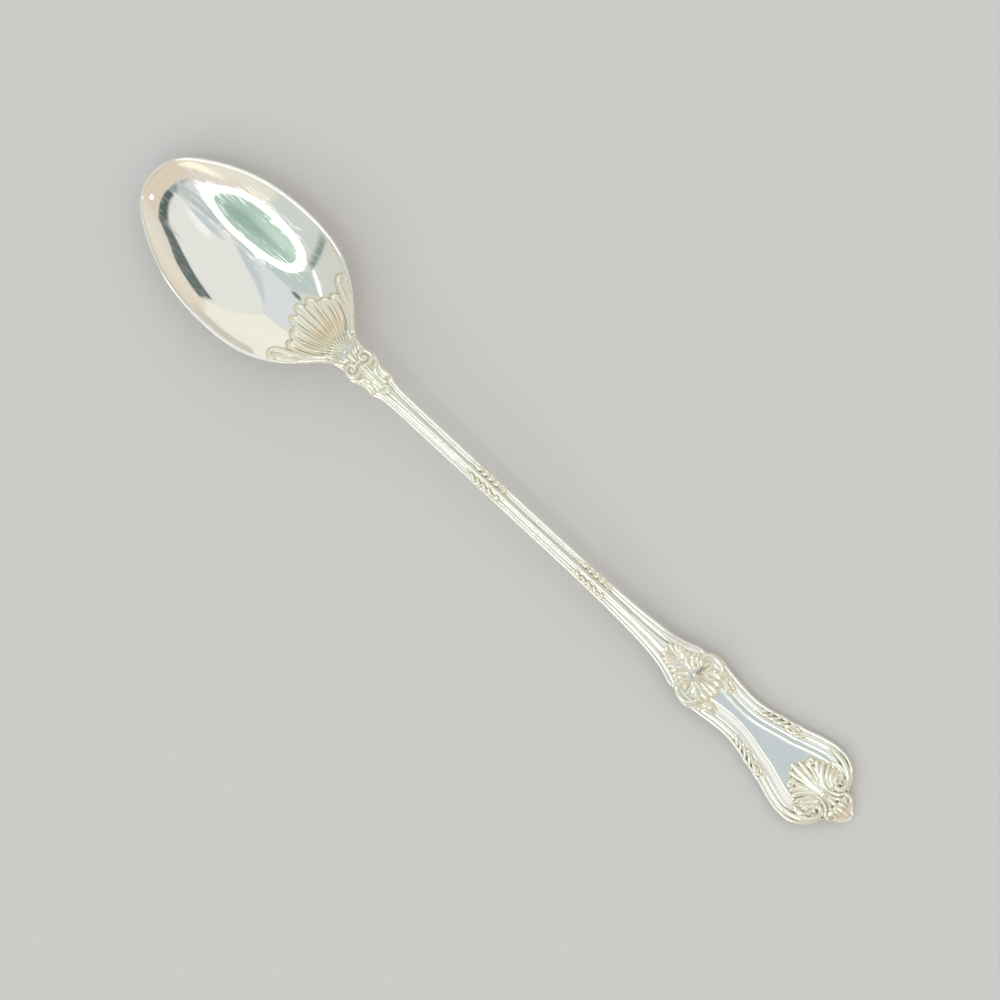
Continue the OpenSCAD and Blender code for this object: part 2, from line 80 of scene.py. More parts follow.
# Sizes of the bowl. A fade is (start, length) along the spoon, and the heel's two are (start, end) as
# shares of the bowl's length.
BOWL_W = 31.0
BOWL_DEPTH = 6.4
BOWL_WALL = 1.2
BOWL_START = 0.008
EGG_FADE = (44.5, 3.5)
RIM_W = 0.8
RIM_EDGE_T = 0.7
RIM_CROWN = 0.17
RIM_ROLL = 0.3
ROLL_START = 0.53
RIM_PITCH = math.radians(4.0)
LAND_FADE = (8.0, 10.0)
LAND_MOST = 0.93
TIP_REACH = 3.0
TIP_RUN = 14.0
TIP_FADE = (7.0, 5.0)
TIP_FULL = 1.5
HOLLOW_FOLLOW = 1.6
HEEL_FADE = (0.83, 1.0)
HEEL_WALL = (0.7, 1.0)
WORN_FLAT = 0.15

# Sizes of the stem and the handle
NECK_T = 3.2
STEM_T = 2.6
HANDLE_T = 1.9
KNOT_MID = 148.7
FIELD_START = 145.5
REST_START = 174.0
EDGE_ROUND = 0.38
BEAD_W = 0.75
GROOVE = 0.22
INNER_BAND_W = 0.87
SLOPE_W = 1.2
BAND_D = 0.16
BAND_HOLLOW = 0.09
FIELD_D = 0.36
FIELD_PITCH = math.radians(5.0)
FIELD_LINE = (0.05, 0.12)
STEM_CROWN = 0.2
STEM_CROWN_POWER = 2.4
REED_W = 0.36
REED_H = 0.15
REED_POWER = 0.7
REED_FADE = (124.0, 10.0)
TOP_CROWN = 0.12
HANDLE_CROWN = 0.04
FINIAL_FALL = 0.28

# Back: its flat share on the stem and on the handle, how far its edges are rounded up as a share of
# the thickness, and the power of its curve at the bowl
BACK_FLAT = (0.2, 0.6)
BACK_ROUND = 0.42
BACK_POWER = 2.3

# From END_FROM on, the outline's nearest point is searched for from END_SEARCH on, in short stretches
# over the last END_TURN. Before it, the outline's slope is held to STEEPEST.
END_FROM = 172.0
END_SEARCH = 166.0
END_TURN = 2.0
STEEPEST = 3.0

# How far an ornament is let into its carrier, how deep its body reaches, how steeply a ridge goes on
# below the carrier's surface, and how far
LET_IN = 0.03
FOOT = 0.5
STEEP = 2.5
SKIRT = 0.14
# Share of its height that a ridge gets, and keeps where it is narrow; powers of its dome and a mound's
RELIEF = 0.95
NARROW_H = 0.45
RIDGE_POWER = 0.6
MOUND_POWER = 1.6
# How far relief stays clear of the spoon's edge and over what width it rises, and its drop there
EDGE_CLEAR = 0.08
EDGE_RISE = 0.3
EDGE_DROP = 0.05
EDGE_DROP_W = 0.1

# Half width of the bowl: (place, half width) as shares of the bowl's length and of half its width
EGG = (
    (0.045, 0.397), (0.091, 0.543), (0.136, 0.644), (0.181, 0.726), (0.226, 0.80), (0.272, 0.854),
    (0.317, 0.90), (0.362, 0.941), (0.408, 0.970), (0.453, 0.990), (0.50, 0.999), (0.543, 1.0),
    (0.59, 0.986), (0.634, 0.966), (0.68, 0.940), (0.725, 0.902), (0.77, 0.843), (0.815, 0.755),
    (0.86, 0.640), (0.906, 0.50), (0.951, 0.345), (1.0, 0.213),
)
EGG_POWERS = 7
# Half width from the heel of the bowl to the end of the plate, and of the finial
OUTLINE = (
    (44.0, 11.2), (46.0, 9.62), (48.0, 7.7), (50.0, 5.6), (51.4, 4.35), (52.6, 3.66), (53.8, 3.34),
    (55.0, 3.22), (55.9, 3.45), (57.0, 3.66), (58.2, 3.5), (59.4, 3.05), (60.6, 2.9), (61.8, 3.05),
    (62.5, 3.12), (63.1, 2.75), (64.0, 2.38), (66.0, 2.12), (70.0, 2.05), (100.0, 2.05),
    (120.0, 2.15), (129.6, 2.45), (134.4, 2.76), (139.0, 3.25), (142.0, 3.95), (144.2, 4.75),
    (145.2, 4.98), (145.8, 4.86), (146.4, 5.1), (147.4, 5.7), (148.8, 6.05), (150.2, 6.0),
    (151.4, 5.72), (152.6, 5.5), (154.0, 5.35), (156.0, 5.1), (158.6, 4.9), (161.0, 4.95),
    (163.2, 5.25), (165.6, 5.8), (168.0, 6.38), (170.4, 6.95), (172.8, 7.72), (175.2, 8.46),
    (177.6, 9.0), (179.2, 9.1), (181.0, 8.95), (182.6, 8.4), (184.0, 7.5), (185.2, 6.1),
    (185.8, 5.0), (186.0, 4.4),
)
# Where sprig leaves swell the handle's edge: (place, swelling, length)
SWELLS = ((166.4, 0.14, 0.75), (170.2, 0.14, 0.75))
FINIAL_OUTLINE = (
    (186.0, 3.75), (186.6, 3.66), (187.3, 3.7), (188.0, 3.34), (188.7, 2.6), (189.3, 1.8),
    (189.9, 1.25), (190.25, 0.75), (190.4, 0.35),
)
THICKNESS = (
    (53.0, NECK_T), (75.6, STEM_T), (134.4, STEM_T), (148.7, 2.18), (178.8, HANDLE_T), (190.4, HANDLE_T),
)
# How far the reeding is struck in, and the width of the thread inside the bead
REEDING = (
    (53.0, 0.0), (61.5, 0.0), (65.0, 1.0), (142.5, 1.0), (148.7, 0.25), (152.8, 1.0), (157.0, 1.5),
    (183.0, 1.5), (186.0, 1.25), (190.4, 1.0),
)
THREAD_W = ((64.0, 0.45), (122.0, 0.48), (140.0, 1.15), (152.8, 1.2), (190.4, 1.2))


def clamp01(x):
    return np.clip(x, 0.0, 1.0)


def ease(x):
    """Rises from 0 to 1 with level ends and no kink: the fifth-order smooth step."""
    u = clamp01(x)
    return u * u * u * (10 - 15 * u + 6 * u * u)


def mix(a, b, u):
    return a + (b - a) * u


def hermite(y0, m0, y1, m1, length, u):
    """Cubic from y0 with slope m0 to y1 with slope m1 over a length, at the share u of it."""
    return (
        y0 * (1 + 2 * u) * (1 - u) ** 2 + m0 * length * u * (1 - u) ** 2
        + y1 * u * u * (3 - 2 * u) - m1 * length * u * u * (1 - u)
    )


def curve(table, x):
    """Smooth curve through rows of (place, value): a cubic from row to row, level at both ends."""
    at, value = np.array(table, float).T
    slope = np.zeros_like(value)
    slope[1:-1] = (value[2:] - value[:-2]) / (at[2:] - at[:-2])
    i = np.clip(np.searchsorted(at, x, side="right") - 1, 0, len(at) - 2)
    length = at[i + 1] - at[i]
    u = clamp01((x - at[i]) / length)
    return hermite(value[i], slope[i], value[i + 1], slope[i + 1], length, u)


def egg_terms(u):
    """The terms of the egg: the root of the place times its powers, which gives a round blunt tip."""
    u = np.asarray(u, float)[..., None]
    return np.sqrt(u) * u ** np.arange(EGG_POWERS)


EGG_FIT = np.linalg.lstsq(
    egg_terms([row[0] for row in EGG]), np.array([row[1] for row in EGG]), rcond=None)[0]


def half_width(s):
    """Half width of the spoon: the egg up to the heel, then the curve through the outline's points."""
    egg = BOWL_W / 2 * np.minimum(1.0, egg_terms(np.clip(s / BOWL_END, 0, 1)) @ EGG_FIT)
    run = np.where(s <= PANEL_END, curve(OUTLINE, s), curve(FINIAL_OUTLINE, s))
    return mix(egg, run, ease((s - EGG_FADE[0]) / EGG_FADE[1])) + swell(s)


def swell(s):
    """Swelling of the handle's edge where sprig leaves cross it."""
    return sum(high * np.exp(-(((s - at) / length) ** 2)) for at, high, length in SWELLS)


def heel(s):
    """0 in the bowl's hollow, 1 where the heel is full."""
    return ease((s / BOWL_END - HEEL_FADE[0]) / (HEEL_FADE[1] - HEEL_FADE[0]))


def hollow(s):
    """Depth of the bowl below its rim on the centre line, which follows the bowl's width and starts
    where the rim ends at the tip."""
    inside = np.maximum(s - RIM_W * np.exp(-np.maximum(s - RIM_W, 0) / TIP_REACH), 0)
    share = half_width(np.minimum(inside, BOWL_END)) / (BOWL_W / 2)
    return BOWL_DEPTH * share ** HOLLOW_FOLLOW * (1 - heel(s))


def land(s):
    """Width of the rim across the spoon. Round the tip it is measured square to the outline."""
    w = half_width(s)
    tip = np.interp(s, TIP_LAND[0], TIP_LAND[1], left=0, right=0)
    square = np.where(s < RIM_W, w, w - tip)
    start, length = LAND_FADE
    return np.minimum(mix(square, RIM_W, ease((s - start) / length)), np.where(s < start, w, w / 2))


def wall(s):
    """Thickness of the bowl, which grows to the neck's in the heel."""
    return mix(BOWL_WALL, NECK_T, ease((s / BOWL_END - HEEL_WALL[0]) / (HEEL_WALL[1] - HEEL_WALL[0])))


def rim_rise(s):
    return s * math.tan(RIM_PITCH)


def tip_land():
    """Inner edge of the rim round the tip: the outline moved inward by the rim's width."""
    s = (sum(LAND_FADE) + 2) * np.linspace(0.001, 1, 600) ** 2
    w = half_width(s)
    slope = np.gradient(w, s)
    size = np.hypot(1, slope)
    return s + RIM_W * slope / size, np.maximum(w - RIM_W / size, 0)


TIP_LAND = tip_land()
_along = np.linspace(0, BOWL_END, 400)
BOWL_LIFT = -WORN_FLAT - np.min(rim_rise(_along) - hollow(_along) - wall(_along))


def rim_z(s):
    return BOWL_LIFT + rim_rise(s)


def back_z(s):
    """The back leaves the bowl at the rim's pitch and comes down to lie on the table."""
    run = REST_START - BOWL_END
    u = clamp01((s - BOWL_END) / run)
    return hermite(rim_z(BOWL_END) - NECK_T, math.tan(RIM_PITCH), 0, 0, run, u)


def inner_z(s, y):
    """Floor of the bowl: a parabola across, from the inner edge of the rim down to the hollow's depth."""
    w = half_width(s)
    v = clamp01(np.abs(y) / np.maximum(w - land(s), 1e-3))
    return rim_z(s) + TOP_CROWN * heel(s) * (1 - clamp01(np.abs(y) / w) ** 2) - hollow(s) * (1 - v ** 2)


def outer_z(s, y):
    """Underside of the bowl: a parabola too. At the tip it starts as thin as the rim's edge."""
    v = clamp01(np.abs(y) / half_width(s))
    thicker = (wall(s) - RIM_EDGE_T) * np.sqrt(clamp01(s / TIP_FULL))
    return np.maximum(0, rim_z(s) - RIM_EDGE_T - (hollow(s) + thicker) * (1 - v ** 2))


def round_over(x):
    """Quarter circle: 0 at the top (x = 0), 1 at the side (x = 1)."""
    return 1 - np.sqrt(np.clip(1 - clamp01(x) ** 2, 0, 1))


def sunk(s):
    """0 on the stem, 1 on the handle, whose field is sunk inside its borders."""
    return ease((s - FIELD_START) / (KNOT_END - FIELD_START))


def edge_gap(s, y):
    """Distance of each point from the spoon's outline, square to it, on the handle; else across."""
    s, y = np.broadcast_arrays(s, np.abs(y))
    w = half_width(s) - swell(s)
    slope = (half_width(s + 0.05) - swell(s + 0.05) - half_width(s - 0.05) + swell(s - 0.05)) / 0.1
    gap = (w - y) / np.sqrt(1 + np.minimum(np.abs(slope), STEEPEST) ** 2)
    gap = np.clip(gap + swell(s) * (1 - ease(gap)), 0, None)
    end = s > END_FROM
    if end.any():
        last = OUTLINE[-1][0]
        turn = last - END_TURN * np.linspace(1, 0, 40)[1:] ** 2
        along = np.concatenate([np.linspace(END_SEARCH, last - END_TURN, 60), turn])
        best = path_gap(s[end], y[end], along, half_width(np.minimum(along, PANEL_END)))
        gap = gap.copy()
        gap[end] = np.where(y[end] < w[end], best, 0)
    return gap


def segment_gap(s, y, a, b):
    """Distance of each point from the stretch a to b, and how far along the stretch it is nearest."""
    ds, dy = b[0] - a[0], b[1] - a[1]
    t = clamp01(((s - a[0]) * ds + (y - a[1]) * dy) / (ds * ds + dy * dy))
    return np.hypot(s - a[0] - t * ds, y - a[1] - t * dy), t


def path_gap(s, y, along, side):
    """Distance of each point from the path through the points (along, side)."""
    best = np.full(y.shape, 1e9)
    for k in range(len(along) - 1):
        best = np.minimum(best, segment_gap(s, y, (along[k], side[k]), (along[k + 1], side[k + 1]))[0])
    return best


def reeded(s, y, struck=1.0):
    """Height of the plate's top against its edge: half-round bead, half-round thread, then on the
    stem a crowned middle and on the handle a lower band, a slope and the sunk field."""
    e = edge_gap(s, y)
    w = half_width(s)
    g = GROOVE * curve(REEDING, s) * struck
    t = curve(THREAD_W, s)
    second = BEAD_W + t
    bead = np.where(
        e < BEAD_W / 2, -EDGE_ROUND * round_over(1 - 2 * e / BEAD_W), -g * round_over(2 * e / BEAD_W - 1))
    thread = -g * round_over(np.abs(2 * (e - BEAD_W) / t - 1))
    c = clamp01(np.abs(y) / np.maximum(w - second, 0.2))
    reed = REED_H * (1 - ease((s - REED_FADE[0]) / REED_FADE[1])) * struck
    crowned = curve(REEDING, s) * (
        mix(-g, STEM_CROWN - reed, 1 - c ** STEM_CROWN_POWER)
        + reed * clamp01(1 - (y / REED_W) ** 2) ** REED_POWER)
    third = second + INNER_BAND_W
    x = clamp01((e - second) / INNER_BAND_W)
    band = -BAND_D - BAND_HOLLOW * round_over(np.abs(2 * x - 1))
    x = clamp01((e - third) / SLOPE_W)
    slope = -FIELD_D + (1 - x) * SLOPE_W * math.tan(FIELD_PITCH)
    line = FIELD_LINE[0] * np.exp(-(((e - third - SLOPE_W) / FIELD_LINE[1]) ** 2)) * struck
    panel = np.where(e < third, band, slope - line)
    middle = mix(crowned, panel, sunk(s))
    return np.where(e < BEAD_W, bead, np.where(e < second, thread, middle))


def crown(s, y):
    """Low arch across the top, highest on the stem."""
    v = clamp01(np.abs(y) / half_width(s))
    return mix(TOP_CROWN, HANDLE_CROWN, sunk(s)) * (1 - v ** 2)


def plate_z(s, y, struck=1.0):
    """Top of the plate from the neck to the end of the handle."""
    return back_z(s) + curve(THICKNESS, s) + crown(s, y) + reeded(s, y, struck)


# Top of the finial across, over its half width
FINIAL_SECTION = (
    (0, 0.1), (0.35, 0.04), (0.62, -0.1), (0.72, -0.2), (0.8, -0.12), (0.9, -0.1), (1, -0.42),
)


def finial_z(s, y):
    """Top of the finial: a raised tongue inside a bevelled edge, which falls towards its point."""
    v = clamp01(np.abs(y) / half_width(s))
    fall = FINIAL_FALL * ease((s - PANEL_END) / (OVERALL_L - PANEL_END))
    return HANDLE_T * (1 - fall) + curve(FINIAL_SECTION, v)


def ground(s, y, struck=1.0):
    """Top of whatever carries the ornaments. With struck at 0 its grooves are filled."""
    s, y = np.broadcast_arrays(np.asarray(s, float), np.asarray(y, float))
    bowl = inner_z(np.minimum(s, BOWL_END), y)
    plate = plate_z(np.clip(s, BOWL_END, PANEL_END), y, struck)
    finial = finial_z(np.maximum(s, PANEL_END), y)
    return np.where(s < BOWL_END, bowl, np.where(s < PANEL_END, plate, finial))


# Ornament. Each stroke is (swell, half width, height, points): a rounded ridge along a smooth path
# through points of (place, y) in the half y > 0, which is carried over to the other half.
# The profiles say how wide a stroke is along its run, as shares of its half width.
LEAF = ((0, 0.45), (0.45, 1), (0.8, 0.8), (1, 0.3))
FINGER = ((0, 0.4), (0.6, 0.9), (0.85, 1), (1, 0.75))
BAND = ((0, 0.7), (0.3, 1), (0.7, 1), (1, 0.7))
TAPER = ((0, 1), (1, 0.5))
RIB = ((0, 0.2), (0.35, 0.5), (0.85, 1), (1, 1))
SWEEP = ((0, 0.2), (0.15, 0.9), (0.6, 1), (1, 0.55))

# The heel's shell: place of the little sun; the arc round it that the ribs leave (radius along and
# across, and turn from rib to rib); where each rib ends, from the middle outward; and the lobe that
# the longer ones roll into (radius, and how far its eye lies back)
SUN = 53.1
RIB_ARC = (3.8, 3.1)
RIB_TURN = 9.5
RIB_ENDS = (
    (39.5, 0.0), (40.8, 1.3), (40.3, 2.4), (42.0, 3.45), (42.4, 4.45), (43.6, 5.45), (43.4, 6.4),
    (45.3, 7.3),
)
LOBE = 0.74
LOBE_BACK = 0.62


def smooth(points, per_span=8):
    """Catmull-Rom curve through the points, as an array of [place, y]."""
    p = np.array(points, float)
    p = np.vstack([2 * p[0] - p[1], p, 2 * p[-1] - p[-2]])
    a, b, c, d = (q[:, None, :] for q in (p[:-3], p[1:-2], p[2:-1], p[3:]))
    t = np.linspace(0, 1, per_span, endpoint=False)[None, :, None]
    q = 0.5 * (
        2 * b + (c - a) * t + (2 * a - 5 * b + 4 * c - d) * t ** 2 + (3 * b - a - 3 * c + d) * t ** 3)
    return np.vstack([q.reshape(-1, 2), p[-2]])


def volute(eye, outer, inner, start, turn, power=0.6, n=44):
    """Scroll round an eye: the radius falls from outer to inner as the angle goes on by turn degrees."""
    u = np.linspace(0, 1, n)
    a = np.radians(start + turn * u)
    r = mix(outer, inner, u ** power)
    return np.stack([eye[0] + r * np.cos(a), eye[1] + r * np.sin(a)], 1)


def lay(field, s, y, swelling, half, rise, path, soft=False, cut=False):
    """Lays a ridge into a height field on the grid s by y: a dome across each stretch of the path that
    goes on below its foot, and the highest counts. A soft one has a gentle foot. A cut is a V instead."""
    path = smooth(path) if len(path) < 20 else np.asarray(path, float)
    u = np.linspace(0, 1, len(path))
    width = half * curve(swelling, u)
    height = rise * mix(NARROW_H, 1.0, curve(swelling, u))
    for k in range(len(path) - 1):
        a, b = path[k], path[k + 1]
        reach = max(width[k], width[k + 1]) + SKIRT
        rows = slice(*np.searchsorted(s, (min(a[0], b[0]) - reach, max(a[0], b[0]) + reach)))
        cols = slice(*np.searchsorted(y, (min(a[1], b[1]) - reach, max(a[1], b[1]) + reach)))
        gap, t = segment_gap(s[rows, None], y[None, cols], a, b)
        wide, high = mix(width[k], width[k + 1], t), mix(height[k], height[k + 1], t)
        part = field[rows, cols]
        if cut:
            part[...] = np.where(gap < wide, part - high * (1 - gap / wide), part)
            continue
        across = np.clip(1 - (gap / wide) ** 2, 0, 1)
        if soft:
            part[...] = np.where(gap < wide, np.maximum(part, high * across ** MOUND_POWER), part)
        else:
            below = STEEP * np.clip(gap - wide, 0, None)
            part[...] = np.maximum(part, RELIEF * high * across ** RIDGE_POWER - below)


def shell_paths():
    """Paths of the heel shell's ribs: each leaves an arc round the sun, swings out and runs on along
    the bowl. Over a share u of its run it has come 1 - (1 - u)^1.8 of its way across."""
    u = np.linspace(0, 1, 26)
    for k, (tip, side) in enumerate(RIB_ENDS):
        turn = math.radians(RIB_TURN * k)
        start, root = SUN - RIB_ARC[0] * math.cos(turn), RIB_ARC[1] * math.sin(turn)
        yield np.stack([start - u * (start - tip), root + (side - root) * (1 - (1 - u) ** 1.8)], 1)


def shell_ribs(half, rise, lobes=False):
    """Ribs of the heel's shell. Every other one is broader and reaches further, and with lobes it ends
    in a rolled lobe."""
    for k, (path, (tip, side)) in enumerate(zip(shell_paths(), RIB_ENDS)):
        yield RIB, half * (0.78 if k % 2 else 1.2), rise, path
        if lobes and k % 2 == 0:
            yield BAND, 0.3, 0.62, volute((tip + LOBE_BACK, side), LOBE, LOBE, 70, 220)


def shell_splits(half, depth):
    """Lines that split the broader ribs beside the middle one."""
    for path in list(shell_paths())[2::2]:
        yield BAND, half, depth, path[3:-4]


def sun_rays():
    """Short rays of the sun at the end of the neck, round which the shell's ribs start."""
    for a in range(180, 96, -11):
        c, n = math.cos(math.radians(a)), math.sin(math.radians(a))
        yield RIB, 0.27, 0.36, ((SUN + 1.1 * c, 1.1 * n), (SUN + 3.4 * c, 3.4 * n))
    yield BAND, 0.4, 0.34, ((SUN - 0.6, 0.0), (SUN - 0.3, 0.0))


def small_shell():
    """Ribs of the little shell that faces down the stem."""
    for a, reach in ((180, 4.0), (163, 3.95), (147, 3.5), (132, 3.0), (117, 2.45), (102, 2.0)):
        c, n = math.cos(math.radians(a)), 0.95 * math.sin(math.radians(a))
        yield RIB, 0.47, 0.42, (
            (143.6 + 0.4 * c, 0.4 * n), (143.6 + 0.6 * reach * c, 0.6 * reach * n),
            (143.6 + reach * c, reach * n))


def stem_sprig(start, side):
    """A run of small leaves that lean across the bead and the thread, and end in a curl."""
    for k in range(4):
        s = start + 1.5 * k
        yield LEAF, 0.4, 0.36, ((s, side - 1.3), (s + 0.8, side - 0.85), (s + 1.6, side - 0.35))
    yield BAND, 0.26, 0.36, volute((start + 7.0, side - 0.85), 0.5, 0.2, 160, 420)
    yield LEAF, 0.3, 0.28, (
        (start - 1.3, side - 1.1), (start - 0.2, side - 0.9), (start + 0.6, side - 0.45))


